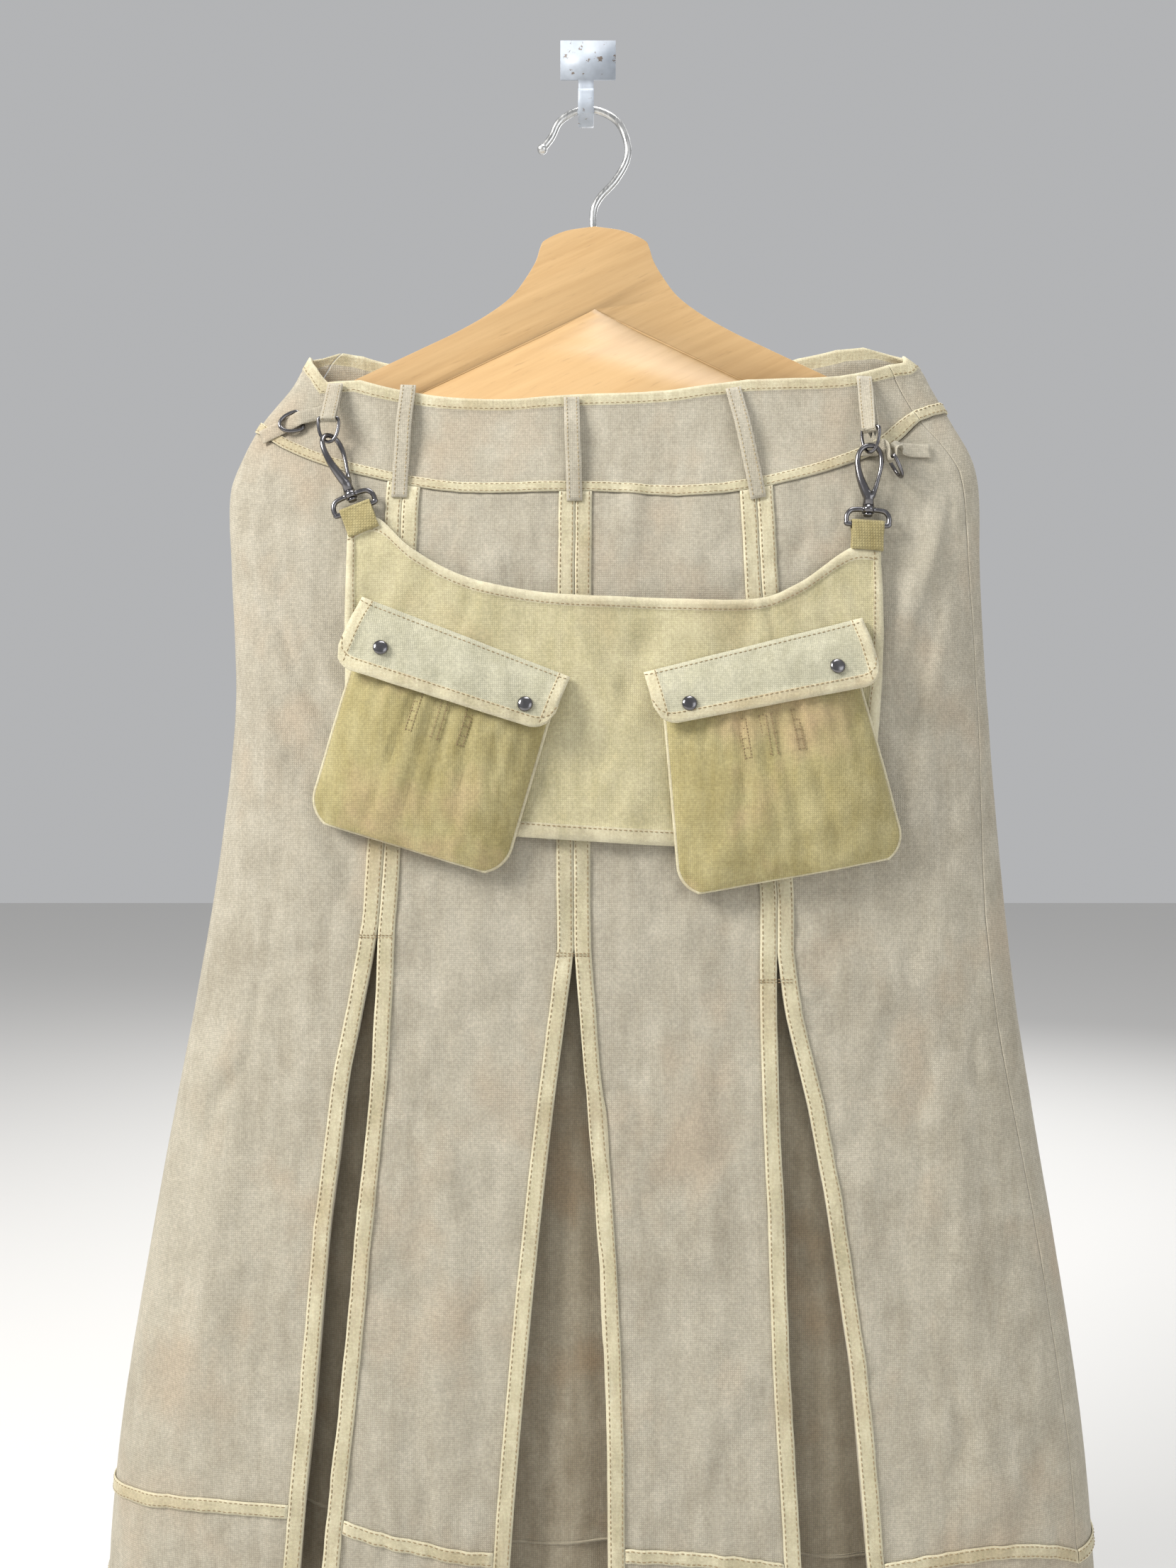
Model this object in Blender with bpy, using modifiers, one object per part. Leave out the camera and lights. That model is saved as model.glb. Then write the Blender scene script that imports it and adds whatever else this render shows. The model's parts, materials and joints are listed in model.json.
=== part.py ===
"""Long A-line skirt with three front pleats and a clipped-on pocket apron, on a wooden hanger.

Metres, +Z up. +X is to the right and -Y is the front, as seen by someone facing the wall.
The origin is the middle of the wall plate's back, and the wall is the plane y = 0.
"""

import math
from collections import namedtuple

import bmesh
import bpy
from mathutils import Matrix, Vector

# Driving sizes
GAP = 0.0003
CLOTH = 0.0012
WAISTBAND_CLOTH = 0.0016
BAND_CLOTH = 0.0008
STRAP_CLOTH = 0.0009
LOOP_CLOTH = 0.0014
HANGER_Y = -0.026
ROUNDNESS = 3.0
SEAT = 0.0004
EDGE_STEP = 0.0010
SIDE_SEAM_GAP = 0.0006
PLEAT_BAND_WIDTH = 0.0094
TIER_BAND_HALF = 0.0038
WAIST_BAND_WIDTH = 0.0060
WAIST_BINDING = 0.0070
HEM_TIER_DROP = 0.058
HEM_BINDING = 0.0090
BINDING_RAISE = 0.0005
APRON_STANDOFF = 0.0070
UP = Vector((0, 0, 1))
RIGHT = Vector((1, 0, 0))
BACK = Vector((0, 1, 0))

# The skirt's outline and depth at each height, outside of the cloth
Ring = namedtuple("Ring", "z left right front back")
RINGS = [
    Ring(-0.180, -0.152, 0.174, 0.0130, 0.0125),
    Ring(-0.191, -0.165, 0.187, 0.0140, 0.0130),
    Ring(-0.200, -0.171, 0.199, 0.0148, 0.0135),
    Ring(-0.212, -0.178, 0.206, 0.0155, 0.0140),
    Ring(-0.233, -0.195, 0.218, 0.0190, 0.0160),
    Ring(-0.255, -0.207, 0.230, 0.0240, 0.0180),
    Ring(-0.276, -0.214, 0.234, 0.0290, 0.0190),
    Ring(-0.320, -0.213, 0.234, 0.0360, 0.0200),
    Ring(-0.400, -0.210, 0.238, 0.0420, 0.0200),
    Ring(-0.490, -0.219, 0.245, 0.0460, 0.0200),
    Ring(-0.575, -0.233, 0.254, 0.0500, 0.0200),
    Ring(-0.660, -0.249, 0.267, 0.0540, 0.0200),
    Ring(-0.745, -0.264, 0.281, 0.0580, 0.0200),
    Ring(-0.830, -0.277, 0.293, 0.0620, 0.0200),
    Ring(-0.915, -0.284, 0.300, 0.0640, 0.0200),
    Ring(-0.970, -0.286, 0.302, 0.0650, 0.0200),
]

# How far the side seams lie inside the skirt's edges: the right one in front, the left one behind
Inset = namedtuple("Inset", "z right left")
SIDE_SEAMS = [
    Inset(-0.190, 0.020, 0.012),
    Inset(-0.231, 0.023, 0.012),
    Inset(-0.250, 0.016, 0.012),
    Inset(-0.281, 0.012, 0.012),
    Inset(-0.400, 0.010, 0.012),
    Inset(-0.551, 0.019, 0.012),
    Inset(-0.700, 0.016, 0.012),
    Inset(-0.970, 0.018, 0.012),
]

# Heights of the waistband's top edge and of the seam below it, from left to right
Point = namedtuple("Point", "x z")
WAIST_FRONT = [
    Point(-0.166, -0.1930),
    Point(-0.1520, -0.2080),
    Point(-0.1460, -0.2125),
    Point(-0.1380, -0.2098),
    Point(-0.1180, -0.2109),
    Point(-0.0960, -0.2165),
    Point(-0.0500, -0.2220),
    Point(0.0130, -0.2220),
    Point(0.0780, -0.2177),
    Point(0.1136, -0.2109),
    Point(0.1594, -0.2080),
    Point(0.1740, -0.2030),
    Point(0.1880, -0.1935),
]
WAIST_BACK = [
    Point(-0.166, -0.1930),
    Point(-0.1500, -0.1876),
    Point(-0.1200, -0.1945),
    Point(-0.0700, -0.2030),
    Point(-0.0200, -0.2050),
    Point(0.0445, -0.2012),
    Point(0.0900, -0.1955),
    Point(0.1300, -0.1870),
    Point(0.1600, -0.1840),
    Point(0.1800, -0.1865),
    Point(0.1880, -0.1935),
]
SEAM_FRONT = [
    Point(-0.202, -0.2370),
    Point(-0.1860, -0.2461),
    Point(-0.1664, -0.2582),
    Point(-0.1351, -0.2688),
    Point(-0.1070, -0.2759),
    Point(-0.0720, -0.2805),
    Point(0.0000, -0.2797),
    Point(0.0590, -0.2824),
    Point(0.1078, -0.2758),
    Point(0.1344, -0.2684),
    Point(0.1769, -0.2522),
    Point(0.2094, -0.2319),
    Point(0.2160, -0.2270),
]
SEAM_BACK = [
    Point(-0.202, -0.2370),
    Point(-0.1500, -0.2540),
    Point(0.0080, -0.2640),
    Point(0.1500, -0.2520),
    Point(0.2160, -0.2270),
]

# The seam that each pleat hangs from, and its two edges below the top of the opening
Edge = namedtuple("Edge", "z left right")
PLEATS = [
    [
        Edge(-0.270, -0.1065, -0.1065),
        Edge(-0.487, -0.1156, -0.1156),
        Edge(-0.536, -0.1191, -0.1191),
        Edge(-0.600, -0.1322, -0.1209),
        Edge(-0.695, -0.1443, -0.1298),
        Edge(-0.799, -0.1523, -0.1390),
        Edge(-0.887, -0.1603, -0.1485),
        Edge(-0.960, -0.1655, -0.1530),
    ],
    [
        Edge(-0.270, -0.0071, -0.0071),
        Edge(-0.483, -0.0087, -0.0087),
        Edge(-0.546, -0.0077, -0.0077),
        Edge(-0.600, -0.0156, -0.0030),
        Edge(-0.694, -0.0267, 0.0052),
        Edge(-0.797, -0.0366, 0.0103),
        Edge(-0.884, -0.0433, 0.0109),
        Edge(-0.960, -0.0480, 0.0112),
    ],
    [
        Edge(-0.270, 0.0970, 0.0970),
        Edge(-0.512, 0.1070, 0.1070),
        Edge(-0.561, 0.1066, 0.1066),
        Edge(-0.617, 0.1070, 0.1211),
        Edge(-0.682, 0.1098, 0.1330),
        Edge(-0.777, 0.1123, 0.1463),
        Edge(-0.888, 0.1187, 0.1553),
        Edge(-0.960, 0.1225, 0.1600),
    ],
]
PLEAT_TOPS = [-0.536, -0.546, -0.561]

# Height of the tier seam at the left edge, middle and right edge of each panel, front panels first
Tier = namedtuple("Tier", "left middle right")
TIERS = [
    Tier(-0.864, -0.857, -0.854),
    Tier(-0.859, -0.871, -0.879),
    Tier(-0.876, -0.880, -0.887),
    Tier(-0.888, -0.881, -0.893),
]
BACK_TIER = Tier(-0.893, -0.880, -0.864)

# The largest soft folds: a straight crest or trough from one point to another on the front or back
Fold = namedtuple("Fold", "side x0 z0 x1 z1 width height")
FOLDS = [
    Fold("front", -0.192, -0.350, -0.150, -0.432, 0.0085, -0.0034),
    Fold("front", -0.173, -0.340, -0.141, -0.402, 0.0080, -0.0028),
    Fold("front", -0.199, -0.380, -0.156, -0.490, 0.0095, -0.0030),
    Fold("front", 0.196, -0.318, 0.172, -0.380, 0.0085, -0.0032),
    Fold("front", 0.205, -0.360, 0.186, -0.470, 0.0100, -0.0026),
    Fold("front", -0.205, -0.640, -0.222, -0.800, 0.0130, 0.0030),
    Fold("front", -0.082, -0.660, -0.076, -0.860, 0.0140, 0.0028),
    Fold("front", 0.062, -0.640, 0.070, -0.860, 0.0150, 0.0028),
    Fold("front", 0.205, -0.620, 0.226, -0.850, 0.0150, 0.0032),
    Fold("back", -0.110, -0.380, -0.150, -0.900, 0.0200, -0.0040),
    Fold("back", 0.010, -0.330, 0.012, -0.900, 0.0200, -0.0040),
    Fold("back", 0.125, -0.380, 0.170, -0.900, 0.0200, -0.0040),
]

# Pocket apron edges, front view
APRON_TOP = [
    Point(-0.1380, -0.3020),
    Point(-0.1215, -0.2960),
    Point(-0.1004, -0.3146),
    Point(-0.0680, -0.3315),
    Point(-0.0250, -0.3400),
    Point(0.0201, -0.3427),
    Point(0.0900, -0.3440),
    Point(0.1190, -0.3350),
    Point(0.1500, -0.3140),
    Point(0.1680, -0.3130),
]
APRON_BOTTOM = [Point(-0.1350, -0.4720), Point(0.0060, -0.4816), Point(0.1560, -0.4900)]
APRON_LEFT = [Point(-0.1380, -0.3020), Point(-0.1386, -0.3800), Point(-0.1350, -0.4720)]
APRON_RIGHT = [Point(0.1680, -0.3130), Point(0.1675, -0.3900), Point(0.1560, -0.4900)]

# Pocket bags: middle of the mouth, lean of the side edges from straight down, and sizes
Pocket = namedtuple("Pocket", "name x z tilt mouth bottom drop depth")
POCKETS = [
    Pocket("left", -0.0734, -0.3829, -16.5, 0.1144, 0.1150, 0.1073, 0.0110),
    Pocket("right", 0.0965, -0.3904, 10.0, 0.1090, 0.1290, 0.1131, 0.0110),
]
POCKET_CORNER = 0.018

# Pocket flaps: middle of the sewn top edge, its slope, length and drop
Flap = namedtuple("Flap", "name x z slope length drop_left drop_right studs")
FLAPS = [
    Flap("left", -0.0692, -0.3656, -21.4, 0.1272, 0.0425, 0.0340, (-0.0404, 0.0462)),
    Flap("right", 0.0935, -0.3703, 14.2, 0.1282, 0.0320, 0.0395, (-0.0444, 0.0410)),
]
# How far the flap's outside stands off the apron, going down from its seam
Lean = namedtuple("Lean", "drop out")
FLAP_LEAN = [
    Lean(0.000, 0.0021),
    Lean(0.006, 0.0056),
    Lean(0.012, 0.0098),
    Lean(0.018, 0.0120),
    Lean(0.027, 0.0138),
    Lean(0.045, 0.0170),
]
FLAP_CORNER = 0.012
STUD_RADIUS = 0.0043
STUD_DROP = 0.0238

# Clip chains: strap position, ring bar in front view, lean, stand-off of the hanging ring, and turns
Chain = namedtuple("Chain", "name strap_x bar_x bar_z lean ring_out hook_turn ring_turn")
CHAINS = [
    Chain("left", -0.1490, -0.1336, -0.2907, -21.3, 0.0105, 50.0, 0.0),
    Chain("right", 0.1628, 0.1607, -0.3000, 3.5, 0.0100, 0.0, -45.0),
]
BOSS_TO_BAR = 0.0090
HOOK_LENGTH = 0.0379
RING_HOLD = 0.0034
CLIP_WIRE = 0.0015
RING_WIRE = 0.0010
RING_WIDTH = 0.0120
RING_DROP = 0.0140
WEBBING_WIDTH = 0.0186
WEBBING_LENGTH = 0.0150
WEBBING_CLOTH = 0.0011

# Hanger and wall hook
HANGER_X = 0.0040
HANGER_THICKNESS = 0.0140
HANGER_TIP_THICKNESS = 0.0125
HANGER_WIRE = 0.00215
WIRE_HOLE = 0.0025
HANGER_HALF = [
    Point(0.0000, -0.1164),
    Point(0.0170, -0.1190),
    Point(0.0295, -0.1245),
    Point(0.0325, -0.1290),
    Point(0.0352, -0.1373),
    Point(0.0416, -0.1480),
    Point(0.0500, -0.1586),
    Point(0.0644, -0.1693),
    Point(0.0836, -0.1800),
    Point(0.1060, -0.1906),
    Point(0.1780, -0.2245),
    Point(0.1880, -0.2320),
    Point(0.1950, -0.2420),
    Point(0.1970, -0.2510),
    Point(0.1930, -0.2585),
    Point(0.1850, -0.2545),
    Point(0.0496, -0.1906),
    Point(0.0270, -0.1800),
    Point(0.0000, -0.1660),
]
HOOK_ROUTE = [
    Point(0.0040, -0.1290),
    Point(0.0030, -0.1080),
    Point(0.0062, -0.0975),
    Point(0.0160, -0.0865),
    Point(0.0229, -0.0745),
    Point(0.0236, -0.0640),
    Point(0.0180, -0.0510),
    Point(0.0060, -0.0440),
    Point(-0.0065, -0.0443),
    Point(-0.0170, -0.0505),
    Point(-0.0220, -0.0600),
    Point(-0.0275, -0.0672),
]
HOOK_BALL = 0.0030
PLATE_WIDTH = 0.0343
PLATE_HEIGHT = 0.0240
PLATE_THICKNESS = 0.0015
TONGUE_X = -0.0012
TONGUE_WIDTH = 0.0094
TONGUE_FRONT = -0.0325


def clear_scene():
    for old in list(bpy.data.objects):
        bpy.data.objects.remove(old, do_unlink=True)


def make_collections():
    parts = bpy.data.collections.new("pleated_skirt")
    cutters = bpy.data.collections.new("cutters")
    for collection in (parts, cutters):
        bpy.context.scene.collection.children.link(collection)
    return parts, cutters


def make_material(name, colour, roughness, metallic=0.0):
    made = bpy.data.materials.new(name)
    made.use_nodes = True
    shader = made.node_tree.nodes["Principled BSDF"]
    shader.inputs["Base Color"].default_value = (*colour, 1)
    shader.inputs["Roughness"].default_value = roughness
    shader.inputs["Metallic"].default_value = metallic
    return made


clear_scene()
PARTS, CUTTERS = make_collections()
TAUPE = make_material("taupe_cotton", (0.46, 0.43, 0.35), 0.9)
SHADE = make_material("pleat_cotton", (0.38, 0.34, 0.27), 0.9)
CREAM = make_material("cream_tape", (0.60, 0.57, 0.43), 0.85)
APRON_CLOTH = make_material("cream_cotton", (0.55, 0.53, 0.38), 0.9)
KHAKI = make_material("khaki_cotton", (0.42, 0.38, 0.22), 0.85)
METAL = make_material("gunmetal", (0.12, 0.11, 0.11), 0.25, 1.0)
STEEL = make_material("steel_wire", (0.55, 0.55, 0.54), 0.25, 1.0)
WOOD = make_material("hanger_wood", (0.62, 0.42, 0.22), 0.5)
PAINT = make_material("painted_steel", (0.52, 0.56, 0.64), 0.45)


# Smooth curves


def along(points, t):
    """A smooth curve through points, t from 0 to 1, evenly shared among its spans."""
    spans = len(points) - 1
    place = min(max(t, 0.0), 1.0) * spans
    i = min(int(place), spans - 1)
    u = place - i
    here, there = Vector(points[i]), Vector(points[i + 1])
    before = Vector(points[i - 1]) if i > 0 else here * 2 - there
    after = Vector(points[i + 2]) if i < spans - 1 else there * 2 - here
    a = (there - before) / 2
    b = (after - here) / 2
    return (
        here * (1 + 2 * u) * (1 - u) ** 2
        + a * u * (1 - u) ** 2
        + there * u * u * (3 - 2 * u)
        + b * u * u * (u - 1)
    )


def span_at(table, key):
    """Index of the table's span that holds key, and the share of the way along it."""
    way = 1 if table[-1][0] > table[0][0] else -1
    i = 0
    while i < len(table) - 2 and (key - table[i + 1][0]) * way > 0:
        i += 1
    share = (key - table[i][0]) / (table[i + 1][0] - table[i][0])
    return i, min(max(share, 0.0), 1.0)


def row_at(table, key):
    """The table's row at key, its first column, smooth between rows."""
    i, u = span_at(table, key)
    here, there = table[i], table[i + 1]
    before = table[max(i - 1, 0)]
    after = table[min(i + 2, len(table) - 1)]
    span = there[0] - here[0]
    values = [key]
    for k in range(1, len(here)):
        a = (there[k] - before[k]) / (there[0] - before[0]) * span
        b = (after[k] - here[k]) / (after[0] - here[0]) * span
        values.append(
            here[k] * (1 + 2 * u) * (1 - u) ** 2
            + a * u * (1 - u) ** 2
            + there[k] * u * u * (3 - 2 * u)
            + b * u * u * (u - 1)
        )
    return type(here)(*values)


def straight_row(table, key):
    """The table's row at key, in straight lines between rows."""
    i, u = span_at(table, key)
    return type(table[i])(key, *[a + (b - a) * u for a, b in zip(table[i][1:], table[i + 1][1:])])


def through_three(tier, f):
    """A quadratic through the values at 0, a half and 1."""
    return (
        tier.left * (1 - f) * (1 - 2 * f)
        + tier.middle * 4 * f * (1 - f)
        + tier.right * f * (2 * f - 1)
    )


# The skirt's surface: an angle round the body and a height


def signed_power(value, power):
    return math.copysign(abs(value) ** power, value)


def fold_depth(side, x, z):
    total = 0.0
    for fold in FOLDS:
        if fold.side != side:
            continue
        dx, dz = fold.x1 - fold.x0, fold.z1 - fold.z0
        length = math.hypot(dx, dz)
        t = ((x - fold.x0) * dx + (z - fold.z0) * dz) / length**2
        off = ((x - fold.x0) * dz - (z - fold.z0) * dx) / length
        beyond = max(-t, t - 1, 0.0) * length
        total += fold.height * math.exp(-((off / fold.width) ** 2) - (beyond / 0.02) ** 2)
    return total


def ring_point(z, angle):
    """A point on the outside of the cloth. Angle -90 degrees is the front middle, 0 the right side."""
    ring = row_at(RINGS, z)
    middle, half = (ring.left + ring.right) / 2, (ring.right - ring.left) / 2
    x = middle + half * signed_power(math.cos(angle), 2 / ROUNDNESS)
    reach = signed_power(math.sin(angle), 2 / ROUNDNESS)
    depth = ring.back if reach > 0 else ring.front
    bump = fold_depth("back" if reach > 0 else "front", x, z) * min(abs(reach) * 1.5, 1.0)
    return Vector((x, HANGER_Y + depth * reach + math.copysign(bump, reach), z))


def outward(z, angle):
    step = 0.01
    across = ring_point(z, angle + step) - ring_point(z, angle - step)
    down = ring_point(z - 0.002, angle) - ring_point(z + 0.002, angle)
    return down.cross(across).normalized()


def cloth_point(z, angle, out=0.0):
    return ring_point(z, angle) + outward(z, angle) * out


def front_angle(x, z):
    ring = row_at(RINGS, z)
    middle, half = (ring.left + ring.right) / 2, (ring.right - ring.left) / 2
    share = min(max((x - middle) / half, -1.0), 1.0)
    return -math.acos(signed_power(share, ROUNDNESS / 2))


def back_angle(x, z):
    return -front_angle(x, z)


def front_point(x, z, out=0.0):
    return cloth_point(z, front_angle(x, z), out)


def ring_x(z, angle):
    ring = row_at(RINGS, z)
    middle, half = (ring.left + ring.right) / 2, (ring.right - ring.left) / 2
    return middle + half * signed_power(math.cos(angle), 2 / ROUNDNESS)


def angle_step(z, angle, length):
    """The angle that covers a length along the ring."""
    small = 0.002
    span = (ring_point(z, angle + small) - ring_point(z, angle - small)).length
    return length / (span / (2 * small))


def seam_angle(side, z):
    """The right side seam shows at the front, and the left one lies as far behind the left edge."""
    ring = row_at(RINGS, z)
    half = (ring.right - ring.left) / 2
    inset = getattr(row_at(SIDE_SEAMS, z), side)
    turn = math.acos((1 - inset / half) ** (ROUNDNESS / 2))
    return -turn if side == "right" else -math.pi - turn


def edge_height(table, z, angle):
    """Height at which a line given by its x and z crosses the column at angle."""
    for _ in range(6):
        z = row_at(table, ring_x(z, angle)).z
    return z


def waist_top(angle):
    return edge_height(WAIST_FRONT if math.sin(angle) < 0 else WAIST_BACK, -0.21, angle)


def waist_seam(angle):
    return edge_height(SEAM_FRONT if math.sin(angle) < 0 else SEAM_BACK, -0.27, angle)


# Making objects


def add_object(name, mesh, material, collection=None):
    made = bpy.data.objects.new(name, mesh)
    (collection or PARTS).objects.link(made)
    mesh.materials.append(material)
    return made


def solidify(made, thickness):
    wall = made.modifiers.new("wall", "SOLIDIFY")
    wall.thickness = thickness
    wall.offset = -1
    wall.use_even_offset = True
    wall.thickness_clamp = 0
    return made


def sheet(name, grid, thickness, material):
    """A cloth wall from a grid of outside points, rows downwards and columns left to right."""
    mesh = bpy.data.meshes.new(name)
    columns = len(grid[0])
    points = [p for row in grid for p in row]
    faces = []
    for i in range(len(grid) - 1):
        for j in range(columns - 1):
            a = i * columns + j
            faces.append((a, a + columns, a + columns + 1, a + 1))
    mesh.from_pydata(points, [], faces)
    mesh.shade_smooth()
    return solidify(add_object(name, mesh, material), thickness)


def loft(name, sections, material):
    """A closed solid through sections with the same number of points each."""
    mesh = bpy.data.meshes.new(name)
    shape = bmesh.new()
    rings = [[shape.verts.new(p) for p in section] for section in sections]
    sides = len(rings[0])
    for low, high in zip(rings, rings[1:]):
        for k in range(sides):
            n = (k + 1) % sides
            shape.faces.new((low[k], low[n], high[n], high[k]))
    shape.faces.new(rings[0][::-1])
    shape.faces.new(rings[-1])
    bmesh.ops.recalc_face_normals(shape, faces=shape.faces)
    shape.to_mesh(mesh)
    shape.free()
    return add_object(name, mesh, material)


def strip(name, path, widths, width, thickness, material):
    """A flat strap along path; widths gives the direction across it at each point."""
    sections = []
    for i, p in enumerate(path):
        way = (path[min(i + 1, len(path) - 1)] - path[max(i - 1, 0)]).normalized()
        across = (widths[i] - way * widths[i].dot(way)).normalized() * (width / 2)
        through = way.cross(across).normalized() * (thickness / 2)
        sections.append(
            [
                p + across + through,
                p - across + through,
                p - across - through,
                p + across - through,
            ]
        )
    return loft(name, sections, material)


def wire(name, points, radius, material, closed=False, sides=2, radii=None):
    """A round wire along points."""
    curve = bpy.data.curves.new(name, "CURVE")
    curve.dimensions = "3D"
    curve.bevel_depth = radius
    curve.bevel_resolution = sides
    curve.use_fill_caps = not closed
    spline = curve.splines.new("POLY")
    spline.points.add(len(points) - 1)
    for i, p in enumerate(points):
        spline.points[i].co = (*p, 1)
        if radii:
            spline.points[i].radius = radii[i]
    spline.use_cyclic_u = closed
    made = bpy.data.objects.new(name, curve)
    PARTS.objects.link(made)
    curve.materials.append(material)
    return made


def as_mesh(made):
    """The object with its curve turned into a mesh, caps welded."""
    bpy.context.view_layer.update()
    name, material = made.name, made.data.materials[0]
    graph = bpy.context.evaluated_depsgraph_get()
    mesh = bpy.data.meshes.new_from_object(made.evaluated_get(graph))
    place = made.matrix_world.copy()
    bpy.data.objects.remove(made, do_unlink=True)
    shape = bmesh.new()
    shape.from_mesh(mesh)
    bmesh.ops.remove_doubles(shape, verts=shape.verts, dist=1e-6)
    bmesh.ops.recalc_face_normals(shape, faces=shape.faces)
    shape.to_mesh(mesh)
    shape.free()
    mesh.materials.clear()
    solid = add_object(name, mesh, material)
    solid.matrix_world = place
    return solid


def cone(name, low, high, radius_low, radius_high, material, sides=12):
    """A round bar between two points, as a mesh in the cutters' collection."""
    mesh = bpy.data.meshes.new(name)
    shape = bmesh.new()
    bmesh.ops.create_cone(
        shape,
        cap_ends=True,
        segments=sides,
        radius1=radius_low,
        radius2=radius_high,
        depth=(high - low).length,
    )
    shape.to_mesh(mesh)
    shape.free()
    made = add_object(name, mesh, material, CUTTERS)
    turn = (high - low).to_track_quat("Z", "Y").to_matrix().to_4x4()
    made.matrix_world = Matrix.Translation((low + high) / 2) @ turn
    made.hide_render = True
    made.display_type = "WIRE"
    return made


def combine(made, other, operation):
    join = made.modifiers.new(operation.lower(), "BOOLEAN")
    join.operation = operation
    join.object = other
    return made


# Skirt


def front_edges(panel, z):
    """Left and right angle of a front panel at height z."""
    if panel == 0:
        left = seam_angle("left", z)
        left += angle_step(z, left, SIDE_SEAM_GAP / 2)
    else:
        left = front_angle(straight_row(PLEATS[panel - 1], z).right + GAP / 2, z)
    if panel == 3:
        right = seam_angle("right", z)
        right -= angle_step(z, right, SIDE_SEAM_GAP / 2)
    else:
        right = front_angle(straight_row(PLEATS[panel], z).left - GAP / 2, z)
    return left, right


# Shares of a side panel's width from its side seam, and of a middle panel's between its bands
SIDE_SHARES = [0.10, 0.20, 0.31, 0.43, 0.56, 0.70, 0.85]
MIDDLE_SHARES = [0.2, 0.4, 0.6, 0.8]


def panel_angles(panel, z):
    """Column angles: narrow columns at the seams, or the pleat bands' widths, and shares between."""
    left, right = front_edges(panel, z)
    if panel > 0:
        low = front_angle(cloth_point(z, left).x + PLEAT_BAND_WIDTH, z)
    else:
        low = left + angle_step(z, left, EDGE_STEP)
    if panel < 3:
        high = front_angle(cloth_point(z, right).x - PLEAT_BAND_WIDTH, z)
    else:
        high = right - angle_step(z, right, EDGE_STEP)
    shares = MIDDLE_SHARES
    if panel == 0:
        shares = SIDE_SHARES
    if panel == 3:
        shares = [1 - share for share in reversed(SIDE_SHARES)]
    between = [low + (high - low) * share for share in shares]
    return [left, low] + between + [high, right]


PANEL_ROWS = [0.0, 0.045, 0.11, 0.20, 0.30, 0.39, 0.44, 0.50, 0.58, 0.66, 0.74, 0.82, 0.91]


def tier_height(tier, angle_at, j, last):
    """The tier seam's height at column j, by its share of the panel's turn."""
    low = -0.87
    start, end = angle_at(low, 0), angle_at(low, last)
    return through_three(tier, (angle_at(low, j) - start) / (end - start))


def seam_spots(angle_at, columns):
    """(z, angle) at which each column crosses the waist seam."""
    spots = []
    for j in range(columns):
        z = waist_seam(angle_at(-0.26, j))
        spots.append((z, angle_at(z, j)))
    return spots


def column_grid(angle_at, columns, tier, rows):
    """Grid of (z, angle) for a panel: rows' shares from the waist seam to the tier tape, then the tape."""
    grid_columns = []
    for j, (seam, _) in enumerate(seam_spots(angle_at, columns)):
        top = seam - GAP / 2
        foot = tier_height(tier, angle_at, j, columns - 1)
        band_top = foot + TIER_BAND_HALF
        levels = [top + (band_top - top) * g for g in rows] + [band_top, foot + GAP / 2]
        grid_columns.append([(z, angle_at(z, j)) for z in levels])
    return [list(row) for row in zip(*grid_columns)]


def grid_points(grid, out=0.0):
    return [[cloth_point(z, a, out) for z, a in row] for row in grid]


def panel_functions(panel):
    """A front panel's column angles, number of columns and tier seam."""

    def angle_at(z, j):
        return panel_angles(panel, z)[j]

    return angle_at, len(panel_angles(panel, -0.4)), TIERS[panel]


def front_panels():
    """Four front panels, each with its bands' lines in the grid, as (z, angle) grids."""
    grids = []
    for panel in range(4):
        grids.append(column_grid(*panel_functions(panel), PANEL_ROWS))
        sheet(f"front_panel_{panel + 1}", grid_points(grids[-1]), CLOTH, TAUPE)
    return grids


def hem_levels(tier):
    hem = tier - HEM_TIER_DROP
    return [tier - GAP / 2, tier - TIER_BAND_HALF, hem + HEM_BINDING + 0.001, hem + HEM_BINDING, hem]


def hem_grid(angle_at, columns, tier):
    grid_columns = []
    for j in range(columns):
        foot = tier_height(tier, angle_at, j, columns - 1)
        grid_columns.append([(z, angle_at(z, j)) for z in hem_levels(foot)])
    return [list(row) for row in zip(*grid_columns)]


def raised_grid(grid, raised_rows):
    """Points of a hem grid, its binding rows a little proud."""
    return [
        [cloth_point(z, a, BINDING_RAISE if i in raised_rows else 0.0) for z, a in row]
        for i, row in enumerate(grid)
    ]


def hem_tiers():
    grids = []
    for panel in range(4):
        grids.append(hem_grid(*panel_functions(panel)))
        sheet(f"front_hem_{panel + 1}", raised_grid(grids[-1], (3, 4)), CLOTH, TAUPE)
    return grids


BACK_SHARES = [0.05, 0.11, 0.17, 0.24, 0.32, 0.40, 0.48, 0.56, 0.64, 0.72, 0.80, 0.87, 0.94]
BACK_COLUMNS = len(BACK_SHARES) + 4


def back_ends(z):
    """Angles of the back pieces' two edges: at the right side seam, and at the left one."""
    start, end = seam_angle("right", z), seam_angle("left", z) + 2 * math.pi
    start += angle_step(z, start, SIDE_SEAM_GAP / 2)
    end -= angle_step(z, end, SIDE_SEAM_GAP / 2)
    return start, end


def back_angle_at(z, j):
    start, end = back_ends(z)
    low = start + angle_step(z, start, EDGE_STEP)
    high = end - angle_step(z, end, EDGE_STEP)
    between = [low + (high - low) * share for share in BACK_SHARES]
    return ([start, low] + between + [high, end])[j]


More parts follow.
